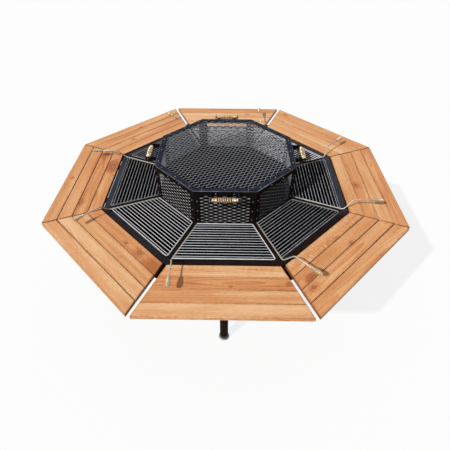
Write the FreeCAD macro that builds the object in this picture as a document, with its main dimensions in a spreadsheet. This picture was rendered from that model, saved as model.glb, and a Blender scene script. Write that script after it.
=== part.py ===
import FreeCAD, Part
import math
import os

import Sketcher
from FreeCAD import Placement, Rotation, Vector

# Octagonal grill table: a wooden deck around a steel fire pan, eight lift-off wire grates
# and a lift-off spark cage. Millimetres; the origin is on the floor under the centre, the
# front faces -Y. Sides are numbered anticlockwise from the front, an eighth of a turn each.

SIZES = {
    # Deck
    "table_across": 1900,
    "table_height": 730,
    "deck_width": 282,
    "board_count": 4,
    "board_gap": 3,
    "board_thick": 22,
    "board_ease": 1.5,
    "corner_cut": 3,
    "seam_wide": 22,
    "seam_narrow": 5,
    # Frame and pan
    "deck_gap": 7,
    "frame_drop": 7,
    "rim_flange": 56,
    "rim_leg": 50,
    "rim_thick": 4,
    "pan_depth": 140,
    "pan_sheet": 3,
    "floor_sheet": 4,
    "bar_thick": 5,
    "spoke_width": 44,
    "web_thick": 5,
    "web_depth": 26,
    "ring_inside": 29,
    "ring_outside": 26,
    "bracket_width": 80,
    "bracket_reach": 75,
    "bracket_thick": 5,
    "arm_offset": 150,
    "arm_width": 30,
    "arm_thick": 4,
    "arm_tip": 10,
    "arm_reach": 262,
    # Legs
    "leg_inset": 67,
    "leg_diameter": 48.3,
    "leg_wall": 3,
    "plate_width": 110,
    "plate_thick": 6,
    "foot_height": 36,
    "foot_diameter": 64,
    "foot_floor": 5,
    "foot_wall": 2,
    "foot_fit": 0.2,
    "glide_height": 5,
    "glide_diameter": 58,
    # Spark cage
    "rest_gap": 0.3,
    "cage_across": 748,
    "cage_height": 212,
    "cage_sheet": 2,
    "cage_flange": 30,
    "cage_lip": 26,
    "post_width": 30,
    "rail_width": 25,
    "rail_height": 20,
    "mesh_long": 124,
    "mesh_short": 56,
    "mesh_strand": 7,
    "mesh_angle": 45,
    # Cage handles
    "handle_standoff": 51,
    "handle_drop": 17,
    "ear_gap": 134,
    "ear_thick": 3,
    "ear_height": 26,
    "ear_end": 12,
    "pin_diameter": 8,
    "pin_fit": 0.3,
    "pin_end": 4,
    "coil_length": 131,
    "coil_diameter": 32,
    "coil_wire": 4,
    "coil_play": 1,
    "coil_turns": 8,
    # Grates
    "grate_gap": 7,
    "grate_margin": 35,
    "grate_side": 14,
    "frame_wire": 7,
    "frame_bend": 12,
    "rod_wire": 5,
    "rod_count": 13,
    "rod_end_share": 0.68,
    "neck_inset": 21,
    "neck_rise": 56,
    "knee_reach": 20,
    "knee_shift": 15,
    "handle_reach": 170,
    "handle_bend": 20,
    "grip_length": 62,
    "grip_over": 4,
    "grip_diameter": 24,
    "grip_mouth": 16,
    "grip_wire": 3,
    "grip_peak": 0.68,
    "grip_turns": 4,
}

SIDES = ["front", "front_right", "right", "back_right", "back", "back_left", "left", "front_left"]
SIDE_DEGREES = 45
CORNER_DEGREES = 22.5
ALL_ROUND = [SIDE_DEGREES * side for side in range(len(SIDES))]
FOUR_SIDES = ALL_ROUND[::2]
WIDE_SEAMS_AFTER = (0, 3, 4, 7)
WIRE_SIDE_COUNT = 6
COIL_SIDE_COUNT = 4
COIL_RUN_COUNT = 8
LEAST_COIL_GAP = 0.4

doc = FreeCAD.newDocument("grill_table")
sheet = doc.addObject("Spreadsheet::Sheet", "sizes")
for row, (alias, number) in enumerate(SIZES.items(), 1):
    sheet.set(f"A{row}", alias)
    sheet.set(f"B{row}", str(number))
    sheet.setAlias(f"B{row}", alias)
reader = doc.addObject("App::FeaturePython", "reader")
doc.recompute()

# Distances from the centre, as expressions on the sheet
DECK_OUTER = "(sizes.table_across / 2)"
DECK_INNER = f"({DECK_OUTER} - sizes.deck_width)"
RIM_OUTER = f"({DECK_INNER} - sizes.deck_gap)"
RIM_INNER = f"({RIM_OUTER} - sizes.rim_flange)"
PAN_OUTER = f"({RIM_OUTER} - sizes.rim_thick)"
LEG_AXIS = f"({PAN_OUTER} - sizes.leg_inset)"
CAGE_OUTER = "(sizes.cage_across / 2)"
POST_OUTER = f"({CAGE_OUTER} - sizes.cage_sheet)"
PANEL_OUTER = f"({POST_OUTER} - sizes.cage_sheet)"
RAIL_OUTER = f"({PANEL_OUTER} - sizes.cage_sheet)"
RING_INNER = f"({CAGE_OUTER} - sizes.ring_inside)"
RING_OUTER = f"({CAGE_OUTER} + sizes.ring_outside)"
GRATE_INNER = f"({CAGE_OUTER} + sizes.grate_gap)"
GRATE_OUTER = f"({RIM_OUTER} - sizes.grate_margin)"
HANDLE_AXIS = f"({CAGE_OUTER} + sizes.handle_standoff)"

# Heights above the floor
DECK_UNDER = "(sizes.table_height - sizes.board_thick)"
FRAME_TOP = "(sizes.table_height - sizes.frame_drop)"
PAN_TOP = f"({FRAME_TOP} - sizes.rim_thick)"
FLOOR_TOP = f"({PAN_TOP} - sizes.pan_depth)"
FLOOR_UNDER = f"({FLOOR_TOP} - sizes.floor_sheet)"
PLATE_UNDER = f"({FLOOR_UNDER} - sizes.plate_thick)"
TUBE_BASE = "(sizes.glide_height + sizes.foot_floor)"
CAGE_BASE = f"({FRAME_TOP} + sizes.rest_gap)"
CAGE_TOP = f"({CAGE_BASE} + sizes.cage_height)"
CAGE_COVER = f"({CAGE_TOP} - sizes.cage_sheet)"
HANDLE_LEVEL = f"({CAGE_TOP} - sizes.handle_drop)"
WIRE_LEVEL = f"({FRAME_TOP} + sizes.rest_gap + sizes.frame_wire / 2)"

nodes = []


def value(expression):
    """The number that an expression on the sheet comes to."""
    result = reader.evalExpression(expression)
    return float(getattr(result, "Value", result))


def origin_plane(body, role):
    return next(plane for plane in body.Origin.OriginFeatures if plane.Role == role)


def new_body(name):
    return doc.addObject("PartDesign::Body", name)


def new_sketch(body, name, role="XY_Plane", level="0"):
    sketch = body.newObject("Sketcher::SketchObject", name)
    sketch.AttachmentSupport = (origin_plane(body, role), [""])
    sketch.MapMode = "FlatFace"
    sketch.setExpression("AttachmentOffset.Base.z", level)
    return sketch


def tie(sketch, piece, end, direction, distance):
    """Hold a sketch point at a bound distance from the origin, or on the axis where it is 0."""
    number = value(distance)
    if abs(number) < 1e-9:
        axis = -2 if direction == "DistanceX" else -1
        sketch.addConstraint(Sketcher.Constraint("PointOnObject", piece, end, axis))
        return
    ends = (-1, 1, piece, end) if number > 0 else (piece, end, -1, 1)
    index = sketch.addConstraint(Sketcher.Constraint(direction, *ends, abs(number)))
    sketch.setExpression(f"Constraints[{index}]", distance if number > 0 else f"-({distance})")


def outline(sketch, corners):
    """A closed polygon; each corner is a pair of expressions."""
    spots = [Vector(value(x), value(y), 0) for x, y in corners]
    lines = [
        sketch.addGeometry(Part.LineSegment(start, end))
        for start, end in zip(spots, spots[1:] + spots[:1])
    ]
    for line, following in zip(lines, lines[1:] + lines[:1]):
        sketch.addConstraint(Sketcher.Constraint("Coincident", line, 2, following, 1))
    for line, (x, y) in zip(lines, corners):
        tie(sketch, line, 1, "DistanceX", x)
        tie(sketch, line, 1, "DistanceY", y)


def circle(sketch, x, y, radius):
    centre = Vector(value(x), value(y), 0)
    piece = sketch.addGeometry(Part.Circle(centre, Vector(0, 0, 1), value(radius)))
    tie(sketch, piece, 3, "DistanceX", x)
    tie(sketch, piece, 3, "DistanceY", y)
    index = sketch.addConstraint(Sketcher.Constraint("Radius", piece, value(radius)))
    sketch.setExpression(f"Constraints[{index}]", radius)


def pad(body, sketch, length):
    feature = body.newObject("PartDesign::Pad", f"{sketch.Name}_pad")
    feature.Profile = sketch
    feature.setExpression("Length", length)
    return feature


def slab(body, name, corners, bottom, height):
    """A flat piece: a polygon drawn at one height and padded upwards."""
    sketch = new_sketch(body, name, "XY_Plane", bottom)
    outline(sketch, corners)
    return pad(body, sketch, height)


def revolve(body, name, corners):
    """A turned piece: a half section drawn in XZ and revolved about Z."""
    sketch = new_sketch(body, name, "XZ_Plane")
    outline(sketch, corners)
    feature = body.newObject("PartDesign::Revolution", f"{name}_turned")
    feature.Profile = sketch
    feature.ReferenceAxis = (sketch, ["V_Axis"])
    return feature


def half_side(distance, gap="0"):
    """Half the length of an octagon's side, less a gap kept from the corner's ray."""
    return f"({distance} * tan({CORNER_DEGREES} deg) - {gap} / cos({CORNER_DEGREES} deg))"


def corner(distance):
    """Distance from the centre to an octagon's corner."""
    return f"({distance} / cos({CORNER_DEGREES} deg))"


def mitred(near, far, left="0", right="0"):
    """Corners of a front bar that ends on the rays through the octagon's corners."""
    return [
        (f"-{half_side(near, left)}", f"-{near}"),
        (half_side(near, right), f"-{near}"),
        (half_side(far, right), f"-{far}"),
        (f"-{half_side(far, left)}", f"-{far}"),
    ]


def turned(name, pieces, angle):
    """The same pieces again, turned about the table's axis."""
    copy = doc.addObject("Part::Compound", name)
    copy.Links = pieces
    copy.Placement = Placement(Vector(), Rotation(Vector(0, 0, 1), angle))
    return copy


def node(name, pieces, angles=(0,)):
    """One named sub-part: its pieces, repeated at each angle."""
    part = doc.addObject("Part::Compound", name)
    part.Label = name
    part.Links = [turned(f"{name}_at_{angle:g}", pieces, angle) for angle in angles]
    nodes.append(part)


def top_face(feature):
    """Name of the highest flat face."""
    faces = feature.Shape.Faces
    highest = max(range(len(faces)), key=lambda index: faces[index].CenterOfMass.z)
    return f"Face{highest + 1}"


def upright_edges(feature, distance):
    """Names of the upright edges that lie at a distance in front of the centre."""
    names = []
    for index, edge in enumerate(feature.Shape.Edges, 1):
        ends = [vertex.Point for vertex in edge.Vertexes]
        at_distance = all(abs(end.y + distance) < 0.01 for end in ends)
        if at_distance and abs(ends[0].z - ends[1].z) > 1:
            names.append(f"Edge{index}")
    return names


# Deck: boards with eased top edges; a segment's own corners are trimmed

def deck_board(name, number, left, right):
    width = "((sizes.deck_width + sizes.board_gap) / sizes.board_count - sizes.board_gap)"
    near = f"({DECK_INNER} + {number} * ({width} + sizes.board_gap))"
    far = f"({near} + {width})"
    body = new_body(name)
    board = slab(body, f"{name}_plan", mitred(near, far, left, right), DECK_UNDER, "sizes.board_thick")
    doc.recompute()
    trimmed = {0: near, SIZES["board_count"] - 1: far}
    if number in trimmed:
        corners = body.newObject("PartDesign::Chamfer", f"{name}_corners")
        corners.Base = (board, upright_edges(board, value(trimmed[number])))
        corners.setExpression("Size", "sizes.corner_cut")
        board = corners
        doc.recompute()
    eased = body.newObject("PartDesign::Chamfer", f"{name}_eased")
    eased.Base = (board, [top_face(board)])
    eased.setExpression("Size", "sizes.board_ease")
    return body


def seam_after(side):
    """Half the gap between a side's segment and the next."""
    return "(sizes.seam_wide / 2)" if side in WIDE_SEAMS_AFTER else "(sizes.seam_narrow / 2)"


segments = {}
for side, side_name in enumerate(SIDES):
    seams = (seam_after((side - 1) % len(SIDES)), seam_after(side))
    if seams not in segments:
        segments[seams] = [
            deck_board(f"board_{len(segments) + 1}_{number + 1}", number, *seams)
            for number in range(SIZES["board_count"])
        ]
    node(f"deck_{side_name}", segments[seams], [SIDE_DEGREES * side])

# Rim: mitred angle bars, flange on top and inwards
rim_bar = new_body("rim_bar")
slab(rim_bar, "rim_flange_plan", mitred(RIM_INNER, RIM_OUTER), PAN_TOP, "sizes.rim_thick")
slab(rim_bar, "rim_leg_plan", mitred(PAN_OUTER, RIM_OUTER),
     f"({FRAME_TOP} - sizes.rim_leg)", "(sizes.rim_leg - sizes.rim_thick)")
node("rim", [rim_bar], ALL_ROUND)

# Fire pan: wall plates on an octagonal floor
pan_wall = new_body("pan_wall")
PAN_INNER = f"({PAN_OUTER} - sizes.pan_sheet)"
slab(pan_wall, "pan_wall_plan", mitred(PAN_INNER, PAN_OUTER), FLOOR_TOP, "sizes.pan_depth")
node("pan_walls", [pan_wall], ALL_ROUND)

pan_floor = new_body("pan_floor_plate")
half = half_side(PAN_OUTER)
slab(pan_floor, "pan_floor_plan", [
    (f"-{half}", f"-{PAN_OUTER}"), (half, f"-{PAN_OUTER}"),
    (PAN_OUTER, f"-{half}"), (PAN_OUTER, half),
    (half, PAN_OUTER), (f"-{half}", PAN_OUTER),
    (f"-{PAN_OUTER}", half), (f"-{PAN_OUTER}", f"-{half}"),
], FLOOR_UNDER, "sizes.floor_sheet")
node("pan_floor", [pan_floor])

# Inner ring: mitred flats that carry the cage and the grates' inner wires
ring_bar = new_body("ring_bar")
slab(ring_bar, "ring_bar_plan", mitred(RING_INNER, RING_OUTER),
     f"({FRAME_TOP} - sizes.bar_thick)", "sizes.bar_thick")
node("inner_ring", [ring_bar], ALL_ROUND)


def slant(distance):
    """How far a mitred end falls back at a distance from its middle."""
    return f"({distance} * tan({CORNER_DEGREES} deg))"


# Spokes: T bars on the corner rays, notched round the ring and pointed into the rim
spoke = new_body("spoke")
half = "(sizes.spoke_width / 2)"
ring_side = f"({corner(RING_OUTER)} - {slant(half)})"
rim_side = f"({corner(RIM_INNER)} - {slant(half)})"
slab(spoke, "spoke_plan", [
    ("0", f"-{corner(RING_OUTER)}"), (half, f"-{ring_side}"), (half, f"-{rim_side}"),
    ("0", f"-{corner(RIM_INNER)}"), (f"-{half}", f"-{rim_side}"), (f"-{half}", f"-{ring_side}"),
], f"({FRAME_TOP} - sizes.bar_thick)", "sizes.bar_thick")
half = "(sizes.web_thick / 2)"
web_start = f"({corner(RING_INNER)} + {slant(half)})"
web_end = f"({corner(PAN_INNER)} - {slant(half)})"
slab(spoke, "spoke_web_plan", [
    (f"-{half}", f"-{web_start}"), (half, f"-{web_start}"), (half, f"-{web_end}"), (f"-{half}", f"-{web_end}"),
], f"({FRAME_TOP} - sizes.bar_thick - sizes.web_depth)", "sizes.web_depth")
node("spokes", [spoke], [angle + CORNER_DEGREES for angle in ALL_ROUND])

# Corner brackets: plates under the seams, notched round the rim's corners
bracket = new_body("corner_bracket")
half = "(sizes.bracket_width / 2)"
notch = f"({corner(RIM_OUTER)} - {slant(half)})"
far = f"({corner(RIM_OUTER)} + sizes.bracket_reach)"
slab(bracket, "corner_bracket_plan", [
    ("0", f"-{corner(RIM_OUTER)}"), (half, f"-{notch}"), (half, f"-{far}"),
    (f"-{half}", f"-{far}"), (f"-{half}", f"-{notch}"),
], f"({DECK_UNDER} - sizes.bracket_thick)", "sizes.bracket_thick")
node("corner_brackets", [bracket], [angle + CORNER_DEGREES for angle in ALL_ROUND])


# Deck arms: angles with a tapered web, two under each segment

def deck_arm(name, start):
    body = new_body(name)
    end = f"({start} + sizes.arm_width)"
    tip = f"({RIM_OUTER} + sizes.arm_reach)"
    flange_under = f"({DECK_UNDER} - sizes.arm_thick)"
    slab(body, f"{name}_plan", [
        (start, f"-{RIM_OUTER}"), (end, f"-{RIM_OUTER}"), (end, f"-{tip}"), (start, f"-{tip}"),
    ], flange_under, "sizes.arm_thick")
    web = new_sketch(body, f"{name}_web", "YZ_Plane", start)
    outline(web, [
        (f"-{RIM_OUTER}", flange_under), (f"-{RIM_OUTER}", f"({FRAME_TOP} - sizes.rim_leg)"),
        (f"-{tip}", f"({flange_under} - sizes.arm_tip)"), (f"-{tip}", flange_under),
    ])
    pad(body, web, "sizes.arm_thick")
    return body


arms = [
    deck_arm("arm_right", "sizes.arm_offset"),
    deck_arm("arm_left", "(0 - sizes.arm_offset - sizes.arm_width)"),
]
node("deck_arms", arms, ALL_ROUND)

# Legs: tubes under square plates, standing in rubber boots on steel glides
tube = new_body("leg_tube")
section = new_sketch(tube, "leg_section", "XY_Plane", TUBE_BASE)
circle(section, "0", "0", "(sizes.leg_diameter / 2)")
circle(section, "0", "0", "(sizes.leg_diameter / 2 - sizes.leg_wall)")
pad(tube, section, f"({PLATE_UNDER} - {TUBE_BASE})")
tube.setExpression("Placement.Base.y", f"-{LEG_AXIS}")
for side_name, angle in zip(SIDES[::2], FOUR_SIDES):
    node(f"leg_{side_name}", [tube], [angle])

plate = new_body("leg_plate")
half = "(sizes.plate_width / 2)"
near = f"({LEG_AXIS} - {half})"
far = f"({LEG_AXIS} + {half})"
slab(plate, "leg_plate_plan", [
    (f"-{half}", f"-{near}"), (half, f"-{near}"), (half, f"-{far}"), (f"-{half}", f"-{far}"),
], PLATE_UNDER, "sizes.plate_thick")
node("leg_plates", [plate], FOUR_SIDES)

boot = new_body("boot")
bore = "(sizes.leg_diameter / 2 + sizes.foot_fit)"
revolve(boot, "boot_section", [
    ("0", "sizes.glide_height"), ("(sizes.foot_diameter / 2)", "sizes.glide_height"),
    (f"({bore} + sizes.foot_wall)", "sizes.foot_height"), (bore, "sizes.foot_height"),
    (bore, TUBE_BASE), ("0", TUBE_BASE),
])
boot.setExpression("Placement.Base.y", f"-{LEG_AXIS}")
node("foot_boots", [boot], FOUR_SIDES)

glide = doc.addObject("Part::Cylinder", "glide")
glide.setExpression("Radius", "sizes.glide_diameter / 2")
glide.setExpression("Height", "sizes.glide_height")
glide.setExpression("Placement.Base.y", f"-{LEG_AXIS}")
node("foot_glides", [glide], FOUR_SIDES)

# Spark cage frame: folded top angles, corner posts and a base rail
cage_bar = new_body("cage_bar")
slab(cage_bar, "cage_flange_plan", mitred(f"({CAGE_OUTER} - sizes.cage_flange)", CAGE_OUTER),
     CAGE_COVER, "sizes.cage_sheet")
slab(cage_bar, "cage_lip_plan", mitred(POST_OUTER, CAGE_OUTER),
     f"({CAGE_TOP} - sizes.cage_lip)", "(sizes.cage_lip - sizes.cage_sheet)")
node("cage_top_frame", [cage_bar], ALL_ROUND)

post = new_body("cage_post")
leg_across = f"(sizes.post_width * cos({CORNER_DEGREES} deg))"
leg_back = f"({corner(POST_OUTER)} - sizes.post_width * sin({CORNER_DEGREES} deg))"
inner_across = f"({leg_across} - sizes.cage_sheet * sin({CORNER_DEGREES} deg))"
inner_back = f"({leg_back} - sizes.cage_sheet * cos({CORNER_DEGREES} deg))"
slab(post, "cage_post_plan", [
    ("0", f"-{corner(POST_OUTER)}"), (leg_across, f"-{leg_back}"), (inner_across, f"-{inner_back}"),
    ("0", f"-{corner(PANEL_OUTER)}"), (f"-{inner_across}", f"-{inner_back}"), (f"-{leg_across}", f"-{leg_back}"),
], CAGE_BASE, "(sizes.cage_height - sizes.cage_sheet)")
node("cage_posts", [post], [angle + CORNER_DEGREES for angle in ALL_ROUND])

rail = new_body("cage_rail")
slab(rail, "cage_rail_plan", mitred(f"({RAIL_OUTER} - sizes.rail_width)", RAIL_OUTER),
     CAGE_BASE, "sizes.cage_sheet")
slab(rail, "cage_rail_leg_plan", mitred(f"({RAIL_OUTER} - sizes.cage_sheet)", RAIL_OUTER),
     f"({CAGE_BASE} + sizes.cage_sheet)", "(sizes.rail_height - sizes.cage_sheet)")
node("cage_base_rail", [rail], ALL_ROUND)


# Expanded metal: sheets with staggered diamond openings between strands

def diamond_openings(reach, inside):
    """Diamond wires in the XY plane, long way along X, that lie inside an outline."""
    long_way = value("sizes.mesh_long")
    short_way = value("sizes.mesh_short")
    shrink = 1 - value("sizes.mesh_strand") * math.hypot(long_way, short_way) / (long_way * short_way)
    rows = math.ceil(reach / short_way) * 2
    columns = math.ceil(reach / long_way)
    wires = []
    for row in range(-rows, rows + 1):
        for column in range(-columns, columns + 1):
            middle = Vector((column + row % 2 / 2) * long_way, row * short_way / 2, 0)
            across = Vector(long_way / 2 * shrink, 0, 0)
            along = Vector(0, short_way / 2 * shrink, 0)
            tips = [middle + across, middle + along, middle - across, middle - along]
            if all(inside(tip) for tip in tips):
                wires.append(Part.makePolygon(tips + tips[:1]))
    return wires


def holed_sheet(border, openings, thick):
    """A plate with openings, padded upwards from the XY plane."""
    face = Part.Face([Part.makePolygon(border + border[:1])] + openings)
    face.validate()
    return face.extrude(Vector(0, 0, thick))


sheet_thick = value("sizes.cage_sheet")
strand = value("sizes.mesh_strand")

half_panel = value(half_side(RAIL_OUTER))
panel_height = value(f"({CAGE_COVER} - {CAGE_BASE})")
panel_border = [
    Vector(across * half_panel, along * panel_height / 2, 0)
    for across, along in ((-1, -1), (1, -1), (1, 1), (-1, 1))
]


def in_panel(tip):
    return abs(tip.x) < half_panel - strand and abs(tip.y) < panel_height / 2 - strand


panel = doc.addObject("Part::Feature", "cage_panel")
panel.Shape = holed_sheet(panel_border, diamond_openings(half_panel, in_panel), sheet_thick)
panel_middle = Vector(0, -value(RAIL_OUTER), value(CAGE_BASE) + panel_height / 2)
panel.Placement = Placement(panel_middle, Rotation(Vector(1, 0, 0), 90))
node("cage_side_panels", [panel], ALL_ROUND)

mesh_turn = Rotation(Vector(0, 0, 1), value("sizes.mesh_angle"))
mesh_outer = value(f"({RAIL_OUTER} - sizes.cage_sheet)")
mesh_border = [
    Rotation(Vector(0, 0, 1), CORNER_DEGREES + angle).multVec(Vector(value(corner(str(mesh_outer))), 0, 0))
    for angle in ALL_ROUND
]


def in_cover(tip):
    facing = [Rotation(Vector(0, 0, 1), angle).multVec(Vector(1, 0, 0)) for angle in ALL_ROUND]
    return all(tip.dot(direction) < mesh_outer - strand for direction in facing)


cover = doc.addObject("Part::Feature", "cage_cover")
cover.Shape = holed_sheet(mesh_border, diamond_openings(mesh_outer, in_cover), sheet_thick)
cover.Placement = Placement(Vector(0, 0, value(CAGE_COVER) - sheet_thick), mesh_turn)
node("cage_top_mesh", [cover])

# Cage handles: a folded bracket with two ears, a pin and a barrel coil
ears = new_body("handle_bracket")
inside = "(sizes.ear_gap / 2)"
outside = f"({inside} + sizes.ear_thick)"
strap = f"({CAGE_OUTER} + sizes.ear_thick)"
ear_tip = f"({HANDLE_AXIS} + sizes.ear_end)"
folded = slab(ears, "handle_bracket_plan", [
    (f"-{outside}", f"-{CAGE_OUTER}"), (outside, f"-{CAGE_OUTER}"),
    (outside, f"-{ear_tip}"), (inside, f"-{ear_tip}"),
    (inside, f"-{strap}"), (f"-{inside}", f"-{strap}"),
    (f"-{inside}", f"-{ear_tip}"), (f"-{outside}", f"-{ear_tip}"),
], f"({HANDLE_LEVEL} - sizes.ear_height / 2)", "sizes.ear_height")
beyond = f"({outside} + sizes.ear_thick)"
pin_hole = new_sketch(ears, "pin_hole", "YZ_Plane", beyond)
circle(pin_hole, f"-{HANDLE_AXIS}", HANDLE_LEVEL, "(sizes.pin_diameter / 2 + sizes.pin_fit)")
drilled = ears.newObject("PartDesign::Pocket", "pin_holes")
drilled.Profile = pin_hole
drilled.setExpression("Length", f"(2 * {beyond})")
doc.recompute()
if drilled.Shape.Volume >= folded.Shape.Volume:
    raise RuntimeError("the pin holes cut nothing")
node("cage_handle_brackets", [ears], FOUR_SIDES)

pin = doc.addObject("Part::Cylinder", "handle_pin")
pin.setExpression("Radius", "sizes.pin_diameter / 2")
pin.setExpression("Height", f"2 * ({outside} + sizes.pin_end)")
pin.Placement = Placement(Vector(), Rotation(Vector(0, 1, 0), 90))
pin.setExpression("Placement.Base.x", f"0 - {outside} - sizes.pin_end")
pin.setExpression("Placement.Base.y", f"-{HANDLE_AXIS}")
pin.setExpression("Placement.Base.z", HANDLE_LEVEL)
node("cage_handle_pins", [pin], FOUR_SIDES)


# Wires and coils: unbroken tubes of flat-sided runs, mitred where they turn

def wire_section(sides, start, direction, upright, inscribed):
    """Corners of a polygon of the wire's thickness across flats, square to the path's start."""
    across = direction.cross(upright).normalize()
    up = across.cross(direction)
    reach = inscribed / math.cos(math.pi / sides)
    corners = []
    for index in range(sides):
        angle = math.pi / 2 + math.pi * (2 * index + 1) / sides
        corners.append(start + across * (reach * math.cos(angle)) + up * (reach * math.sin(angle)))
    return corners


def mitred_tube(points, sides, inscribed, upright):
    """A solid tube along straight runs; each turn's mitre halves the angle between two runs."""
    runs = [(end - start).normalize() for start, end in zip(points, points[1:])]
    section = wire_section(sides, points[0], runs[0], upright, inscribed)
    faces = [Part.Face(Part.makePolygon(section + section[:1]))]
    for index, run in enumerate(runs):
        onward = runs[min(index + 1, len(runs) - 1)]
        mitre = run + onward
        end = points[index + 1]
        following = [spot + run * ((end - spot).dot(mitre) / run.dot(mitre)) for spot in section]
        for one in range(sides):
            other = (one + 1) % sides
            strip = [section[one], section[other], following[other], following[one], section[one]]
            faces.append(Part.Face(Part.makePolygon(strip)))
        section = following
    faces.append(Part.Face(Part.makePolygon(section + section[:1])))
    shell = Part.makeShell(faces)
    shell.sewShape()
    tube = Part.Solid(Part.Shell(shell.Faces))
    if tube.Volume < 0:
        tube.reverse()
    return tube


def bent_wire(corners, bend, diameter):
    """A six-sided wire; each bend is two chords of its arc."""
    path = [corners[0]]
    for before, middle, after in zip(corners, corners[1:], corners[2:]):
        back = (before - middle).normalize()
        on = (after - middle).normalize()
        half_turn = (math.pi - back.getAngle(on)) / 2
        setback = bend * math.tan(half_turn)
        to_arc = (back + on).normalize() * (bend / math.cos(half_turn) - bend)
        path += [middle + back * setback, middle + to_arc, middle + on * setback]
    path.append(corners[-1])
    return mitred_tube(path, WIRE_SIDE_COUNT, diameter / 2, Vector(0, 0, 1))


def coil(name, spot, axis, turns, wire):
    """One unbroken square-sided coil; spot(share) is a point of its centre line."""
    runs = round(turns * COIL_RUN_COUNT)
    points = [spot(index / runs) for index in range(runs + 1)]
    flats = wire / 2 * math.sqrt(math.pi)
    nearest = min(
        (points[one] - points[other]).Length
        for one in range(len(points))
        for other in range(one + COIL_RUN_COUNT // 2, len(points))
    )
    gap = nearest - flats * math.sqrt(2)
    print(f"{name}: least gap between turns {gap:.2f} mm")
    if gap < LEAST_COIL_GAP:
        raise RuntimeError(f"{name}: the turns come too close")
    feature = doc.addObject("Part::Feature", name)
    feature.Shape = mitred_tube(points, COIL_SIDE_COUNT, flats / 2, axis)
    return feature


coil_wire = value("sizes.coil_wire")
coil_turns = value("sizes.coil_turns")
coil_run = value("sizes.coil_length") - coil_wire
coil_middle = Vector(0, -value(HANDLE_AXIS), value(HANDLE_LEVEL))
barrel_radius = (value("sizes.coil_diameter") - coil_wire) / 2
end_radius = value("(sizes.pin_diameter / 2 + sizes.coil_play)") + coil_wire


def barrel(share):
    """Centre line of a cage handle: a coil that swells from its ends to its middle."""
    angle = 2 * math.pi * coil_turns * share
    swell = math.sqrt(math.sin(math.pi * share))
    radius = end_radius + (barrel_radius - end_radius) * swell
    return coil_middle + Vector(
        (share - 0.5) * coil_run, radius * math.cos(angle), radius * math.sin(angle))


node("cage_handle_coils", [coil("barrel_coil", barrel, Vector(1, 0, 0), coil_turns, coil_wire)], FOUR_SIDES)

# Grate racks: a bent wire frame on three sides, with rods across
frame_wire = value("sizes.frame_wire")
hexagon_reach = f"(sizes.frame_wire / 2 / cos({CORNER_DEGREES} deg + 7.5 deg))"
rod_reach = f"(sizes.rod_wire / 2 / cos({CORNER_DEGREES} deg + 7.5 deg))"
side_wire = f"(sizes.grate_side + {hexagon_reach})"
wire_level = value(WIRE_LEVEL)


def grate_spot(across, distance):
    return Vector(value(across), -value(distance), wire_level)


inner_end = half_side(f"({GRATE_INNER} - {hexagon_reach})", side_wire)
outer_end = half_side(f"({GRATE_OUTER} - {hexagon_reach})", side_wire)
rack_frame = doc.addObject("Part::Feature", "rack_frame")
rack_frame.Shape = bent_wire([
    grate_spot(f"-{inner_end}", GRATE_INNER),
    grate_spot(half_side(GRATE_INNER, "sizes.grate_side"), GRATE_INNER),
    grate_spot(half_side(GRATE_OUTER, "sizes.grate_side"), GRATE_OUTER),
    grate_spot(f"-{outer_end}", GRATE_OUTER),
], value("sizes.frame_bend"), frame_wire)

rods = []
for number in range(1, SIZES["rod_count"] + 1):
    share = f"({number} / (sizes.rod_count + sizes.rod_end_share))"
    distance = f"({GRATE_INNER} + ({GRATE_OUTER} - {GRATE_INNER}) * {share})"
    half = half_side(f"({distance} - {rod_reach})", side_wire)
    rod = doc.addObject("Part::Prism", f"rod_{number}")
    rod.Polygon = WIRE_SIDE_COUNT
    rod.setExpression("Circumradius", rod_reach)
    rod.setExpression("Height", f"2 * {half}")
    rod.Placement = Placement(Vector(), Rotation(Vector(0, 1, 0), 90))
    rod.setExpression("Placement.Base.x", f"-{half}")
    rod.setExpression("Placement.Base.y", f"-{distance}")
    rod.setExpression("Placement.Base.z", WIRE_LEVEL)
    rods.append(rod)

# Grate handles: the fourth side of the rack, bent up over the rim and out along the deck
neck = f"({RIM_OUTER} - sizes.neck_inset)"
neck_side = half_side(neck, "sizes.grate_side")
knee = f"({DECK_INNER} + sizes.knee_reach)"
knee_side = f"({neck_side} - sizes.knee_shift)"
handle_end = f"({DECK_INNER} + sizes.handle_reach)"
rise = Vector(0, 0, value("sizes.neck_rise"))
handle_start = f"({GRATE_INNER} - {hexagon_reach})"
handle_points = [
    grate_spot(f"-{half_side(handle_start, 'sizes.grate_side')}", handle_start),
    grate_spot(f"-{neck_side}", neck),
    grate_spot(f"-{knee_side}", knee) + rise,
    grate_spot(f"-{knee_side}", handle_end) + rise,
]
handle_wire = doc.addObject("Part::Feature", "handle_wire")
handle_wire.Shape = bent_wire(handle_points, value("sizes.handle_bend"), frame_wire)

grip_wire = value("sizes.grip_wire")
grip_turns = value("sizes.grip_turns")
grip_run = value("sizes.grip_length") - grip_wire
grip_peak = value("sizes.grip_peak")
grip_radius = (value("sizes.grip_diameter") - grip_wire) / 2
mouth_radius = (value("sizes.grip_mouth") - grip_wire) / 2
grip_tip = handle_points[-1] - Vector(0, value("sizes.grip_over") - grip_wire / 2, 0)


def teardrop(share):
    """Centre line of a grate's grip: narrow at the wire, widest near the end, then closing."""
    angle = 2 * math.pi * grip_turns * share
    if share < grip_peak:
        swell = (1 - math.cos(math.pi * share / grip_peak)) / 2
    else:
        swell = math.cos(math.pi / 2 * (share - grip_peak) / (1 - grip_peak))
    radius = mouth_radius + (grip_radius - mouth_radius) * swell
    return grip_tip + Vector(
        radius * math.cos(angle), (1 - share) * grip_run, radius * math.sin(angle))


grip = coil("grip_coil", teardrop, Vector(0, 1, 0), grip_turns, grip_wire)

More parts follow.
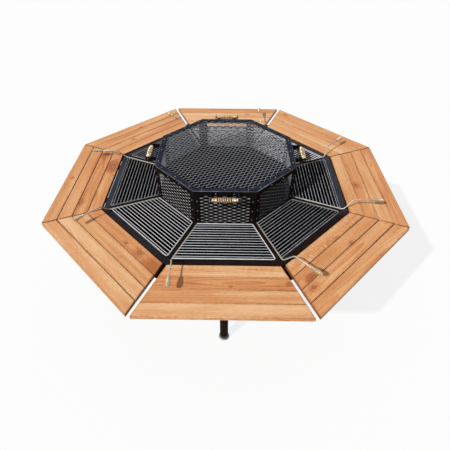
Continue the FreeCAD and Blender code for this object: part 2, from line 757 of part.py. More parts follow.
for side, side_name in enumerate(SIDES):
    node(f"grate_{side_name}_rack", [rack_frame] + rods, [SIDE_DEGREES * side])
    node(f"grate_{side_name}_handle", [handle_wire], [SIDE_DEGREES * side])
    node(f"grate_{side_name}_grip", [grip], [SIDE_DEGREES * side])

doc.recompute()
for item in doc.Objects:
    if "Invalid" in item.State or "Error" in item.State:
        raise RuntimeError(f"{item.Name} did not recompute: {item.State}")
for part in nodes:
    if part.Shape.isNull() or not part.Shape.isValid() or not part.Shape.Solids:
        raise RuntimeError(f"{part.Label} has no sound shape")
    if min(solid.Volume for solid in part.Shape.Solids) <= 0:
        raise RuntimeError(f"{part.Label} has a solid turned inside out")

os.makedirs("parts", exist_ok=True)
for part in nodes:
    part.Shape.exportStep(f"parts/{part.Label}.step")
print(f"{len(nodes)} nodes written")
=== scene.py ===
import math
import random

import bpy
import numpy as np
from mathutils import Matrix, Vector


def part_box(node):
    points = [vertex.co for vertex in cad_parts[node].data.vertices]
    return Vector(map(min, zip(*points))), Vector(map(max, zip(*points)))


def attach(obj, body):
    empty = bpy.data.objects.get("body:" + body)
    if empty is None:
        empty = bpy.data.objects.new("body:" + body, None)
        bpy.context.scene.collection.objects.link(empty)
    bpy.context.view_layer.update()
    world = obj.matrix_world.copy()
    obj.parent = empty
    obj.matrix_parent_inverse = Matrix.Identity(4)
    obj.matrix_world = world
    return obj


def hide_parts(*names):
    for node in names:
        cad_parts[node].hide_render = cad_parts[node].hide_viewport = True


# Looks of the octagonal grill table. Sizes are in millimetres and become metres in the meshes, and the
# materials measure in metres. Each side is drawn as the front one, which faces -Y, and turned to its place.

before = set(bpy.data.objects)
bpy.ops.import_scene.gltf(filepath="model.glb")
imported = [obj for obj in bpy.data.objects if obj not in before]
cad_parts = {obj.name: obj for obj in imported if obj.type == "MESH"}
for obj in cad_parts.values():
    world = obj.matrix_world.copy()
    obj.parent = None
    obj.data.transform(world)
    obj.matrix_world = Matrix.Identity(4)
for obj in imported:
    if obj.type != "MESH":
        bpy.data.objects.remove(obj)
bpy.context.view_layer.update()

MM = 0.001
SIDES = ["front", "front_right", "right", "back_right", "back", "back_left", "left", "front_left"]
# Sides that have a leg below and a handle on the cage
MAIN_SIDES = range(0, len(SIDES), 2)
CORNER = math.radians(22.5)
UP, DOWN = (0.0, 0.0, 1.0), (0.0, 0.0, -1.0)
OUTWARD, SIDEWAYS = (0.0, -1.0, 0.0), (1.0, 0.0, 0.0)
DRAWS = random.Random(11)


def node_box(name):
    """A CAD node's lowest and highest corners at rest, to a hundredth of a millimetre."""
    return [np.round(np.array(corner) / MM, 2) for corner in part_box(name)]


# Shapes

# A wire's ends narrow to this share of its radius, over a length that is this share of it
END_RADIUS, END_LENGTH = 0.6, 0.5
# A direction that no turned piece's axis has, to measure its rings from
ASKEW = (0.31, 0.77, 0.13)


class Shape:
    """Vertices in millimetres, faces and per-vertex values, gathered into one mesh."""

    def __init__(self):
        self.spots = []
        self.faces = []
        self.smooth = []
        self.values = {}
        self.count = 0

    def add(self, spots, faces, smooth=True, **values):
        """More vertices, faces counted from the first of them, and values for all or for each."""
        spots = np.asarray(spots, float)
        self.spots.append(spots)
        self.faces += [[index + self.count for index in face] for face in faces]
        self.smooth += [smooth] * len(faces) if isinstance(smooth, bool) else list(smooth)
        for name, value in values.items():
            value = np.broadcast_to(np.asarray(value, float), (len(spots), *np.shape(value)[-1:]))
            self.values.setdefault(name, []).append(value)
        self.count += len(spots)


def put_in_scene(name, data):
    """A new object with this mesh, light or camera."""
    made = bpy.data.objects.new(name, data)
    bpy.context.scene.collection.objects.link(made)
    return made


def piece(name, shape, material, body, replaces=()):
    """A mesh object that rides on a body, takes a slot's finish and stands for CAD nodes."""
    mesh = bpy.data.meshes.new(name)
    mesh.from_pydata((np.concatenate(shape.spots) * MM).tolist(), [], shape.faces)
    mesh.polygons.foreach_set("use_smooth", shape.smooth)
    for value_name, values in shape.values.items():
        values = np.concatenate(values).astype(np.float32)
        kind, field = ("FLOAT_VECTOR", "vector") if values.shape[1] == 3 else ("FLOAT", "value")
        mesh.attributes.new(value_name, kind, "POINT").data.foreach_set(field, values.ravel())
    mesh.update()
    mesh.materials.append(material)
    made = put_in_scene(name, mesh)
    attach(made, body)
    if replaces:
        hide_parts(*replaces)


def turn(spots, side):
    """Spots drawn for the front side, turned about the table's axis to another side."""
    angle = math.pi / 4 * side
    cosine, sine = math.cos(angle), math.sin(angle)
    return np.asarray(spots, float) @ np.array([[cosine, sine, 0], [-sine, cosine, 0], [0, 0, 1]])


def unit(vectors):
    """A vector, or each row of several, at length 1."""
    return vectors / np.linalg.norm(vectors, axis=-1, keepdims=True)


def circle(across, beyond, sides):
    """Directions round a circle, from across towards beyond."""
    angles = np.arange(sides)[:, None] * 2 * math.pi / sides
    return np.cos(angles) * across + np.sin(angles) * beyond


def skin(rings, count, flipped=False):
    """Faces from each ring of count vertices to the next, then one over each end."""
    faces = []
    for base in range(0, (rings - 1) * count, count):
        for one in range(count):
            other = (one + 1) % count
            faces.append([base + one, base + other, base + count + other, base + count + one])
    faces.append(list(reversed(range(count))))
    faces.append(list(range((rings - 1) * count, rings * count)))
    return [face[::-1] for face in faces] if flipped else faces


def sweep(shape, points, radius, sides):
    """A round wire along points, with softened ends. The first step isn't upright."""
    points = np.asarray(points, float)
    steps = unit(np.diff(points, axis=0))
    tangents = unit(np.vstack([steps[:1], steps[:-1] + steps[1:], steps[-1:]]))
    first = points[:1] - tangents[:1] * END_LENGTH * radius
    last = points[-1:] + tangents[-1:] * END_LENGTH * radius
    points = np.vstack([first, points, last])
    tangents = np.vstack([tangents[:1], tangents, tangents[-1:]])
    radii = np.full(len(points), float(radius))
    radii[[0, -1]] *= END_RADIUS
    side = np.cross(tangents[0], UP)
    rings = []
    for point, tangent, ring_radius in zip(points, tangents, radii):
        side = unit(side - tangent * side.dot(tangent))
        rings.append(point + ring_radius * circle(side, np.cross(side, tangent), sides))
    shape.add(np.concatenate(rings), skin(len(rings), sides, flipped=True))


def bend(corners, radius, steps):
    """A path through corners, each rounded to a radius in so many steps."""
    corners = [np.asarray(corner, float) for corner in corners]
    path = [corners[0]]
    for before, middle, after in zip(corners, corners[1:], corners[2:]):
        back, onward = unit(before - middle), unit(after - middle)
        half = (math.pi - math.acos(np.clip(back.dot(onward), -1, 1))) / 2
        centre = middle + unit(back + onward) * radius / math.cos(half)
        start = middle + back * radius * math.tan(half) - centre
        end = middle + onward * radius * math.tan(half) - centre
        for step in range(steps + 1):
            share = step / steps
            spoke = start * math.sin((1 - share) * 2 * half) + end * math.sin(share * 2 * half)
            path.append(centre + unit(spoke) * radius)
    path.append(corners[-1])
    return path


def helix(start, end, centre, axis, turns, radius, steps):
    """A coil's centre line from start to end on a unit axis; turns and radius are functions of the share."""
    axis = np.asarray(axis, float)
    across = unit(np.cross(axis, UP))
    beyond = np.cross(axis, across)
    points = []
    for step in range(steps + 1):
        share = step / steps
        angle = 2 * math.pi * turns(share)
        spoke = across * math.cos(angle) + beyond * math.sin(angle)
        middle = np.asarray(centre, float) + axis * (start + (end - start) * share)
        points.append(middle + spoke * radius(share))
    return points


def lathe(shape, profile, centre, axis, sides):
    """A turned piece: (radius, height) pairs from its base on, about a unit axis."""
    axis = np.asarray(axis, float)
    across = unit(np.cross(axis, ASKEW))
    around = circle(across, np.cross(axis, across), sides)
    rings = [np.asarray(centre, float) + around * radius + axis * height for radius, height in profile]
    faces = skin(len(rings), sides)
    smooth = [True] * (len(faces) - 2) + [False, False]
    shape.add(np.concatenate(rings), faces, smooth)


# Nodes of materials

# The middle of the fire, in metres
FIRE = (0.0, 0.0, 0.62)


class Nodes:
    """A node tree, filled one call at a time. A source is a node's output or a plain value."""

    def __init__(self, tree):
        self.tree = tree

    def feed(self, socket, source):
        if isinstance(source, bpy.types.NodeSocket):
            self.tree.links.new(source, socket)
        elif socket.type == "RGBA":
            socket.default_value = (*source, 1.0)
        else:
            socket.default_value = source

    def node(self, kind, inputs=None, **settings):
        """A new node, with its settings made and its inputs fed."""
        made = self.tree.nodes.new("ShaderNode" + kind)
        for key, value in settings.items():
            setattr(made, key, value)
        for socket, source in (inputs or {}).items():
            self.feed(made.inputs[socket], source)
        return made

    def math(self, operation, first, second=0.0):
        return self.node("Math", {0: first, 1: second}, operation=operation).outputs[0]

    def plus(self, first, second):
        return self.math("ADD", first, second)

    def minus(self, first, second):
        return self.math("SUBTRACT", first, second)

    def times(self, first, *others):
        for other in others:
            first = self.math("MULTIPLY", first, other)
        return first

    def over(self, first, second):
        return self.math("DIVIDE", first, second)

    def most(self, first, second):
        return self.math("MAXIMUM", first, second)

    def background_rays(self):
        """1 for the rays that show the background: camera, glossy and transmission rays."""
        path = self.node("LightPath").outputs
        share = self.most(path["Is Camera Ray"], path["Is Glossy Ray"])
        return self.most(share, path["Is Transmission Ray"])


class Shader(Nodes):
    """The nodes of a new material."""

    def __init__(self, name):
        self.material = bpy.data.materials.new(name)
        self.material.use_nodes = True
        super().__init__(self.material.node_tree)
        self.surface = self.tree.nodes["Principled BSDF"]

    def split(self, vector):
        return self.node("SeparateXYZ", {0: vector}).outputs

    def join(self, x, y, z):
        return self.node("CombineXYZ", {0: x, 1: y, 2: z}).outputs[0]

    def dot(self, first, second):
        return self.node("VectorMath", {0: first, 1: second}, operation="DOT_PRODUCT").outputs["Value"]

    def length(self, along, across):
        """The length of a line that goes so far along and so far across."""
        squares = self.plus(self.math("POWER", along, 2.0), self.math("POWER", across, 2.0))
        return self.math("SQRT", squares)

    def value(self, name):
        """The vector of that name at the mesh's vertices."""
        return self.node("Attribute", attribute_name=name).outputs["Vector"]

    def level(self, name):
        """The number of that name at the mesh's vertices, 0 where the mesh has none."""
        return self.split(self.value(name))[0]

    def spot(self):
        """The place on the object, in metres."""
        return self.node("TexCoord").outputs["Object"]

    def normal(self):
        return self.node("NewGeometry").outputs["Normal"]

    def upward(self):
        """How squarely a surface looks up, from -1 to 1."""
        return self.split(self.normal())[2]

    def facing_fire(self, spot):
        """How squarely a surface looks at the fire, from -1 to 1."""
        to_fire = self.node("VectorMath", {0: FIRE, 1: spot}, operation="SUBTRACT").outputs["Vector"]
        to_fire = self.node("VectorMath", {0: to_fire}, operation="NORMALIZE").outputs["Vector"]
        return self.dot(self.normal(), to_fire)

    def out_from_middle(self, spot):
        """How far a spot is from the table's axis, square to the nearest side of the octagon."""
        across, along, _ = self.split(spot)
        across, along = self.math("ABSOLUTE", across), self.math("ABSOLUTE", along)
        slanted = self.times(self.plus(across, along), math.sqrt(0.5))
        return self.most(self.most(across, along), slanted)

    def noise(self, vector, scale, detail, seed=None, roughness=0.5, distortion=0.0):
        inputs = {"Vector": vector, "Scale": scale, "Detail": detail}
        inputs.update({"Roughness": roughness, "Distortion": distortion})
        if seed is None:
            return self.node("TexNoise", inputs, noise_dimensions="3D").outputs[0]
        inputs["W"] = seed
        return self.node("TexNoise", inputs, noise_dimensions="4D").outputs[0]

    def span(self, source, low, high, to_low=0.0, to_high=1.0):
        """A smooth step between two levels while the source goes from low to high."""
        inputs = {"Value": source, "From Min": low, "From Max": high}
        inputs.update({"To Min": to_low, "To Max": to_high})
        return self.node("MapRange", inputs, interpolation_type="SMOOTHSTEP").outputs[0]

    def mix(self, share, first, second):
        """A colour that goes from the first to the second as the share goes from 0 to 1."""
        inputs = {0: share, 6: first, 7: second}
        return self.node("Mix", inputs, data_type="RGBA", clamp_factor=True).outputs[2]

    def ramp(self, share, stops):
        """A colour read from (place, colour) stops."""
        made = self.node("ValToRGB", {0: share})
        elements = made.color_ramp.elements
        while len(elements) < len(stops):
            elements.new(0.5)
        for element, (place, colour) in zip(elements, stops):
            element.position = place
            element.color = (*colour, 1.0)
        return made.outputs[0]

    def bump(self, height, strength, distance):
        inputs = {"Strength": strength, "Distance": distance, "Height": height}
        self.feed(self.surface.inputs["Normal"], self.node("Bump", inputs).outputs[0])

    def finish(self, **inputs):
        """Feeds the surface's inputs, each named with _ for a space."""
        for name, source in inputs.items():
            self.feed(self.surface.inputs[name.replace("_", " ")], source)
        return self.material


# Wood

RING_WIDTH = 0.0061
# Share of a year's growth, and how dark the wood is there
RING_SHADES = [(0.0, 0.1), (0.12, 0.0), (0.6, 0.25), (0.9, 1.0), (0.97, 0.85)]
KNOT_STRETCH = 0.62
WOOD_TONES = [(0.0, (0.86, 0.535, 0.295)), (0.3, (0.76, 0.395, 0.178)), (0.6, (0.67, 0.28, 0.105)),
              (1.0, (0.45, 0.145, 0.045))]
PALE_RAY = (0.87, 0.58, 0.32)
KNOT_DARK, KNOT_LIGHT, KNOT_HEART = (0.19, 0.06, 0.024), (0.4, 0.15, 0.056), (0.55, 0.28, 0.16)
GRIMY_EDGE = (0.33, 0.125, 0.038)
# End grain is darker, and drawn near black as painted shade in the seams
END_GRAIN_AND_SHADE = (0.085, 0.038, 0.016)
# Painted bounce light: the walls between boards, brighter and redder than their shade
BOUNCE_BETWEEN_BOARDS = (0.62, 0.16, 0.035)
SMOKED = (0.04, 0.018, 0.009)
# How far out the walls between boards begin and end, just inside the deck's two edges
WALLS_BEGIN, WALLS_END = (0.68, 0.69), (0.94, 0.93)


class Timber(Shader):
    """The nodes of a wood material, with what each board's vertices say of its grain."""

    def __init__(self, name):
        super().__init__(name)
        self.grain = self.value("grain")
        self.along, self.across, self.depth = self.split(self.grain)
        self.seed, self.tone, self.pith = self.split(self.value("figure"))
        self.ragged = self.plus(0.72, self.times(self.noise(self.grain, 45.0, 3.0, self.seed), 0.56))

    def drawn_out(self, along, across, detail, shift=0.0, depth=1.0, roughness=0.5):
        """Noise with its own scale along the board, across it and into it."""
        place = self.join(self.times(self.along, along), self.times(self.across, across),
                          self.times(self.depth, depth))
        return self.noise(place, 1.0, detail, self.plus(self.seed, shift), roughness)

    def mark(self, name):
        """How far a spot is from the middle of a knot or stain, counted in its ragged radius."""
        along, across, size = self.split(self.value(name))
        along = self.times(self.minus(self.along, along), KNOT_STRETCH)
        reach = self.length(along, self.minus(self.across, across))
        return self.times(self.over(reach, size), self.ragged)

    def late_wood(self, halo):
        """The dark part of each year's ring, on a face cut near the pith; rings bend round knots."""
        sway = self.times(self.minus(self.drawn_out(2.4, 8.0, 3.0), 0.5), 0.034)
        drift = self.noise(self.join(self.along, 0.0, 0.0), 1.3, 1.0, self.plus(self.seed, 20.0))
        drift = self.times(self.minus(drift, 0.5), 0.08)
        offset = self.plus(self.plus(self.minus(self.across, self.pith), sway), drift)
        dip = self.times(self.noise(self.join(self.along, 0.0, 3.0), 1.8, 1.0, self.seed), 0.05)
        ring = self.length(offset, self.plus(self.depth, dip))
        ring = self.plus(ring, self.times(halo, 0.013))
        year = self.math("FRACT", self.over(ring, RING_WIDTH))
        return self.ramp(year, [(place, (shade,) * 3) for place, shade in RING_SHADES])


def wood():
    """Oiled softwood: growth rings cut by the board's face, streaks, fibres, knots, worn edges, painted shade
    on end grain and painted bounce light between boards.
    """
    look = Timber("oiled_wood")
    spot = look.spot()
    end_grain = look.span(look.math("ABSOLUTE", look.dot(look.normal(), look.value("axis"))), 0.55, 0.85)
    upright = look.span(look.math("ABSOLUTE", look.upward()), 0.8, 0.3)
    knots = look.math("MINIMUM", look.mark("knot_a"), look.mark("knot_b"))
    halo = look.span(knots, 3.6, 0.7)
    stain = look.span(look.mark("stain"), 1.1, 0.2)
    late = look.late_wood(halo)
    streak = look.drawn_out(1.5, 30.0, 5.0, roughness=0.6)
    patch = look.drawn_out(3.0, 10.0, 2.0, 7.0)
    fibre = look.drawn_out(22.0, 900.0, 3.0, depth=900.0)
    fleck = look.drawn_out(48.0, 190.0, 2.0, 3.0)

    # What deepens the board's own tone: a source, the level from which it does, and how strongly
    tone = look.times(look.tone, 0.62)
    for source, middle, weight in (
        (streak, 0.5, 1.35), (fleck, 0.5, 0.6), (patch, 0.5, 0.85), (late, 0.35, 0.32),
        (fibre, 0.5, 0.3), (halo, 0.0, 0.36), (stain, 0.0, 0.65), (upright, 0.0, 0.3),
    ):
        tone = look.plus(tone, look.times(look.minus(source, middle), weight))
    colour = look.ramp(tone, WOOD_TONES)

    # Ray flecks, and knots with dark and light lines round a heart
    ray = look.times(look.level("rays"), look.span(look.drawn_out(75.0, 28.0, 2.0, 11.0), 0.55, 0.63))
    colour = look.mix(look.times(ray, 0.6), colour, PALE_RAY)
    knot_lines = look.plus(0.5, look.times(look.math("SINE", look.times(knots, 21.0)), 0.5))
    knot_colour = look.mix(knot_lines, KNOT_DARK, KNOT_LIGHT)
    knot_colour = look.mix(look.span(knots, 0.65, 0.3, 0.0, 0.42), knot_colour, KNOT_HEART)
    colour = look.mix(look.times(look.span(knots, 1.15, 0.8), 0.85), colour, knot_colour)

    # Grimy edges, dark ends with painted shade, painted bounce light (reddish) on the walls between the
    # boards, and smoke on what faces the fire
    grime = look.span(look.noise(look.grain, 60.0, 4.0, look.seed), 0.35, 0.75, 0.18, 0.58)
    colour = look.mix(look.times(look.level("worn"), grime), colour, GRIMY_EDGE)
    # Darker end grain, with painted shade in the seams
    colour = look.mix(look.times(end_grain, look.span(fibre, 0.2, 0.8, 0.72, 0.95)), colour, END_GRAIN_AND_SHADE)
    # Painted bounce light on the upright walls between boards
    out = look.out_from_middle(spot)
    bounce_walls = look.times(look.span(out, *WALLS_END), look.span(out, *WALLS_BEGIN))
    bounce_walls = look.times(upright, bounce_walls, look.span(end_grain, 0.0, 1.0, 0.8, 0.25))
    colour = look.mix(bounce_walls, colour, BOUNCE_BETWEEN_BOARDS)
    smoke = look.times(look.span(look.facing_fire(spot), 0.3, 0.8), look.span(streak, 0.3, 0.7, 0.8, 0.97))
    colour = look.mix(smoke, colour, SMOKED)

    look.bump(look.plus(look.times(fibre, 0.6), look.times(late, 0.4)), 0.35, 0.0005)
    rough = look.plus(0.44, look.times(fibre, 0.22))
    return look.finish(Base_Color=colour, Roughness=rough, Specular_IOR_Level=0.3)


# Metals and rubber

# Blue-black: soot on the cage mesh, and painted shade on the racks
SOOT_AND_SHADE = (0.03, 0.035, 0.052)
# Painted sky reflection on the rim's far sides, bluish
SKY_SHEEN = (0.05, 0.053, 0.07)
BLOTCH = (0.003, 0.003, 0.003)
# Two colours of the pan's steel outside, and two inside, that mill scale mixes
PAN_OUTSIDE = (0.012, 0.0095, 0.0085), (0.03, 0.0255, 0.0235)
# Inside, near black: soot, darkened further as painted shade beneath the grates
PAN_INSIDE = (0.001, 0.001, 0.0015), (0.005, 0.005, 0.006)
PAN_ASH, PAN_RUST = (0.05, 0.048, 0.046), (0.04, 0.019, 0.011)
MESH_COAT, MESH_FADED_SKY_BLUE, MESH_DARK = (0.14, 0.14, 0.145), (0.35, 0.36, 0.42), (0.02, 0.02, 0.024)
MESH_RUBBED_GLINT, MESH_BURNT_AND_LIT, MESH_RUST = (0.62, 0.6, 0.57), (0.43, 0.425, 0.435), (0.13, 0.075, 0.05)
RUBBER_DARK, RUBBER_PALE = (0.007, 0.0065, 0.006), (0.016, 0.0145, 0.013)
FLOOR_DUST_AND_GLINT = (0.5, 0.48, 0.45)
# Where the painted sky reflection sets in on the rim: towards the back, towards the left, and outwards
SHEEN_BACK, SHEEN_LEFT, SHEEN_OUT = (-0.31, -0.22), (-0.2, -0.34), (0.618, 0.632)
# Heights between which soot deepens on the cage's mesh, and dust with a painted glint on the rubber boots
SOOT_LEVELS, DUST_AND_GLINT_LEVELS = (0.88, 0.74), (0.016, 0.011)


def sky_sheen_share(look, spot):
    """How strongly sky reflection is painted on the rim outside the grates: off the three front sides, and
    thinly on the front left.
    """
    across, along, _ = look.split(spot)
    sheen_sides = look.most(look.span(along, *SHEEN_BACK), look.span(across, *SHEEN_LEFT, 0.0, 0.3))
    uneven = look.span(look.noise(spot, 18.0, 4.0), 0.3, 0.6, 0.7, 1.0)
    return look.times(sheen_sides, uneven, look.span(look.out_from_middle(spot), *SHEEN_OUT))


def coated(name, sky_lit_top, side, dust_and_sheen, bared_and_glint, rough, specular, sheen_colour=None):
    """Powder coat on steel: painted sky reflection on top and far sides, mottled, dusty with some painted
    sheen, scuffed, rubbed at folds with a painted glint.
    """
    look = Shader(name)
    spot = look.spot()
    facing = look.upward()
    # A sheen colour paints sky reflection on the far sides
    if sheen_colour:
        sky_lit_top = look.mix(sky_sheen_share(look, spot), sky_lit_top, sheen_colour)
    # Painted sky reflection: what faces up takes the lighter top colour, navy on the cage
    colour = look.mix(look.span(facing, 0.1, 0.8), side, sky_lit_top)
    cloud = look.noise(spot, 9.0, 4.0)
    colour = look.mix(look.span(cloud, 0.35, 0.7, 0.0, 0.3), colour, BLOTCH)
    # Rubbed paint at the folds, lighter still as a painted glint
    rubbed = look.times(look.level("rubbed"), look.span(look.noise(spot, 40.0, 4.0), 0.3, 0.7, 0.35, 1.0))
    colour = look.mix(look.times(rubbed, 0.8), colour, bared_and_glint)
    # Dust on what faces up; on the cage its blue-grey colour is partly a painted sky reflection
    lying_dust_and_sheen = look.span(look.noise(spot, 26.0, 5.0, roughness=0.65), 0.42, 0.78)
    lying_dust_and_sheen = look.times(look.span(facing, 0.5, 0.95), lying_dust_and_sheen)
    colour = look.mix(look.times(lying_dust_and_sheen, 0.3), colour, dust_and_sheen)
    scuff = look.span(look.noise(spot, 75.0, 6.0, roughness=0.7, distortion=1.2), 0.66, 0.74)
    colour = look.mix(look.times(scuff, 0.28), colour, dust_and_sheen)
    roughness = look.plus(look.span(cloud, 0.3, 0.7, rough - 0.07, rough + 0.06), look.times(lying_dust_and_sheen, 0.1))
    look.bump(look.noise(spot, 420.0, 3.0), 0.12, 0.0003)
    return look.finish(Base_Color=colour, Roughness=roughness, Specular_IOR_Level=specular)


def scorched():
    """Pan steel: black coat outside, sooty inside and near black there as painted shade, with rust blooms,
    pale ash specks and mill scale.
    """
    look = Shader("scorched_steel")
    spot = look.spot()
    sooty = look.span(look.facing_fire(spot), -0.1, 0.1)
    scale = look.noise(spot, 6.0, 6.0, roughness=0.62)
    rust = look.span(look.noise(spot, 17.0, 7.0, roughness=0.68, distortion=0.6), 0.52, 0.7)
    ash = look.span(look.noise(spot, 130.0, 4.0), 0.63, 0.72)
    inside = look.mix(look.times(ash, 0.15), look.mix(scale, *PAN_INSIDE), PAN_ASH)
    colour = look.mix(sooty, look.mix(scale, *PAN_OUTSIDE), inside)
    colour = look.mix(look.times(rust, look.span(sooty, 0.0, 1.0, 0.5, 0.25)), colour, PAN_RUST)
    look.bump(look.plus(scale, look.times(rust, 0.5)), 0.25, 0.0008)
    roughness = look.span(scale, 0.3, 0.7, 0.55, 0.78)
    return look.finish(Base_Color=colour, Roughness=roughness, Specular_IOR_Level=0.02)


def seared():
    """Expanded metal: black coat, rubbed grey at the bonds with a painted glint; the cover faded, with a
    painted blue sky reflection; inside burnt pale with a painted highlight, and sooty low down.
    """
    look = Shader("seared_mesh")
    spot = look.spot()
    inside = look.span(look.facing_fire(spot), 0.0, 0.3)
    # Burnt pale inside, also a painted highlight where the sun lights the far panels
    burnt_and_lit = look.times(inside, look.span(look.noise(spot, 14.0, 4.0), 0.3, 0.6, 0.5, 0.9))
    sooty = look.times(inside, look.span(look.split(spot)[2], *SOOT_LEVELS, 0.0, 0.65))
    bond = look.span(look.level("bond"), 0.75, 1.0)
    rubbed = look.times(bond, look.span(look.noise(spot, 70.0, 4.0), 0.3, 0.6, 0.5, 0.9))
    rust = look.span(look.noise(spot, 45.0, 6.0, roughness=0.7), 0.58, 0.72)
    # The faded colour is blue as a painted sky reflection on the cover
    colour = look.mix(look.level("faded"), MESH_COAT, MESH_FADED_SKY_BLUE)
    colour = look.mix(look.noise(spot, 9.0, 3.0), look.mix(0.35, colour, MESH_DARK), colour)
    # Rubbed coat at the bonds, lightened as a painted glint
    colour = look.mix(rubbed, colour, MESH_RUBBED_GLINT)
    colour = look.mix(burnt_and_lit, colour, MESH_BURNT_AND_LIT)
    colour = look.mix(sooty, colour, SOOT_AND_SHADE)
    colour = look.mix(look.times(rust, 0.35), colour, MESH_RUST)
    look.bump(look.noise(spot, 420.0, 3.0), 0.12, 0.0003)
    roughness = look.span(look.noise(spot, 20.0, 3.0), 0.3, 0.7, 0.46, 0.6)
    return look.finish(Base_Color=colour, Roughness=roughness, Specular_IOR_Level=0.08)


def bare_metal(name, bright, dull, stain, rough, stain_share, metallic=1.0, specular=0.5):
    """Drawn or plated metal: cloudy plating, fine grain and stains, with blue-black painted shade where the
    mesh has it, deeper on what faces down.
    """
    look = Shader(name)
    spot = look.spot()
    cloud = look.noise(spot, 30.0, 4.0, roughness=0.6)
    stained = look.span(look.noise(spot, 55.0, 6.0, roughness=0.7, distortion=0.8), 0.5, 0.74)
    colour = look.mix(look.span(cloud, 0.35, 0.68), bright, dull)
    colour = look.mix(look.times(stained, stain_share), colour, stain)
    # Painted shade on the racks, blue-black: by side, and deeper on what faces down
    soot = look.level("soot")
    beneath = look.times(look.span(look.upward(), 0.85, 0.35), look.math("GREATER_THAN", soot, 0.0))
    sooty = look.times(soot, look.span(cloud, 0.3, 0.7, 0.8, 1.0))
    colour = look.mix(look.most(sooty, look.times(beneath, 0.85)), colour, SOOT_AND_SHADE)
    roughness = look.span(cloud, 0.3, 0.7, rough - 0.05, rough + 0.09)
    roughness = look.plus(roughness, look.times(stained, 0.14))
    look.bump(look.noise(spot, 650.0, 3.0), 0.1, 0.0002)
    return look.finish(Base_Color=colour, Roughness=roughness, Metallic=metallic, Specular_IOR_Level=specular)


def rubber():
    """Moulded rubber: finely grained, rubbed to a sheen, dusty low down, the dust lightened as a painted
    glint.
    """
    look = Shader("moulded_rubber")
    spot = look.spot()
    grain = look.noise(spot, 900.0, 2.0)
    low = look.times(look.span(look.split(spot)[2], *DUST_AND_GLINT_LEVELS), look.span(look.upward(), 0.3, 0.6))
    dust_and_glint = look.times(low, look.span(look.noise(spot, 60.0, 5.0), 0.3, 0.6, 0.6, 1.0))
    colour = look.mix(look.noise(spot, 25.0, 4.0), RUBBER_DARK, RUBBER_PALE)
    # Dust low on the flare, lightened as a painted glint
    colour = look.mix(look.times(dust_and_glint, 0.8), colour, FLOOR_DUST_AND_GLINT)
    look.bump(grain, 0.2, 0.0003)
    roughness = look.span(grain, 0.3, 0.7, 0.36, 0.44)
    return look.finish(Base_Color=colour, Roughness=roughness, Specular_IOR_Level=0.35)


# The top colours, lighter than the sides and navy on the cage, are a painted sky reflection
TABLE_COAT = dict(sky_lit_top=(0.0155, 0.0088, 0.0068), side=(0.0078, 0.0046, 0.0025),
                  dust_and_sheen=(0.045, 0.036, 0.03), bared_and_glint=(0.045, 0.036, 0.03), rough=0.55, specular=0.012)
CAGE_COAT = dict(sky_lit_top=(0.0150, 0.0185, 0.0330), side=(0.0085, 0.0058, 0.0058),
                 dust_and_sheen=(0.10, 0.107, 0.13), bared_and_glint=(0.2, 0.21, 0.245), rough=0.5, specular=0.03)
WOOD = wood()
STEEL = coated("table_coat", **TABLE_COAT)
# The rim takes a painted sky reflection on its far sides
RIM = coated("rim_coat", **TABLE_COAT, sheen_colour=SKY_SHEEN)
CAGE = coated("cage_coat", **CAGE_COAT)
MESH = seared()
PAN = scorched()
# Slightly blue: a painted sky reflection on the wires
PLATED = bare_metal("plated_wire", (0.81, 0.815, 0.84), (0.68, 0.685, 0.715), (0.31, 0.28, 0.26),
                    rough=0.45, stain_share=0.4, metallic=0.0, specular=0.12)
BRIGHT = bare_metal("bright_wire", (0.5, 0.46, 0.4), (0.37, 0.33, 0.28), (0.18, 0.13, 0.09),
                    rough=0.42, stain_share=0.45, metallic=0.3)
BRASS = bare_metal("brass_wire", (0.75, 0.6, 0.41), (0.57, 0.41, 0.25), (0.24, 0.14, 0.08),
                   rough=0.24, stain_share=0.5)
PIN = bare_metal("browned_pin", (0.24, 0.14, 0.08), (0.15, 0.085, 0.05), (0.06, 0.035, 0.022),
                 rough=0.42, stain_share=0.4, metallic=0.5)
BRONZE = bare_metal("bronze_wire", (0.72, 0.57, 0.37), (0.54, 0.41, 0.25), (0.22, 0.13, 0.07),
                    rough=0.36, stain_share=0.5, metallic=0.6)
GLIDE = bare_metal("glide_steel", (0.62, 0.62, 0.62), (0.42, 0.42, 0.42), (0.24, 0.21, 0.18),
                   rough=0.36, stain_share=0.4)
PAD = bare_metal("foot_pad", (0.5, 0.5, 0.49), (0.4, 0.4, 0.39), (0.2, 0.18, 0.15),
                 rough=0.42, stain_share=0.4, metallic=0.2)
ZINC = bare_metal("zinc_rivet", (0.34, 0.35, 0.37), (0.22, 0.225, 0.24), (0.12, 0.10, 0.09),
                  rough=0.42, stain_share=0.4)
RUBBER = rubber()


# Deck boards

BOARDS = 4
GAP = 3.0
deck_low, deck_high = node_box("deck_front")
DECK_INNER, DECK_OUTER = -deck_high[1], -deck_low[1]
DECK_UNDER, DECK_TOP = deck_low[2], deck_high[2]
BOARD = (DECK_OUTER - DECK_INNER - (BOARDS - 1) * GAP) / BOARDS
# Half the seam between two segments, and the sides that have a wide one after them
SEAM_WIDE, SEAM_NARROW = 11.0, 2.5
WIDE_AFTER = (0, 3, 4, 7)
# How far each edge of a board stands out into its gap, by side, where the boards have swollen
CLOSE_UP = {0: 1.15, 2: 1.15, 3: 1.15, 4: 1.15, 5: 0.4, 7: 0.3}
# How far a side's inner board keeps back from the deck's inner edge
SET_BACK = {6: 1.3}
# How much boards differ in their seams and tops, and how far off its middle a board's pith may be
SEAM_SPREAD, TOP_SPREAD, PITH_SPREAD = 0.5, 0.5, 90.0
CHAMFER, EASE, WORN_BAND = 1.0, 2.2, 7.0
EASE_ANGLES = (0.0, 30.0, 60.0, 90.0)

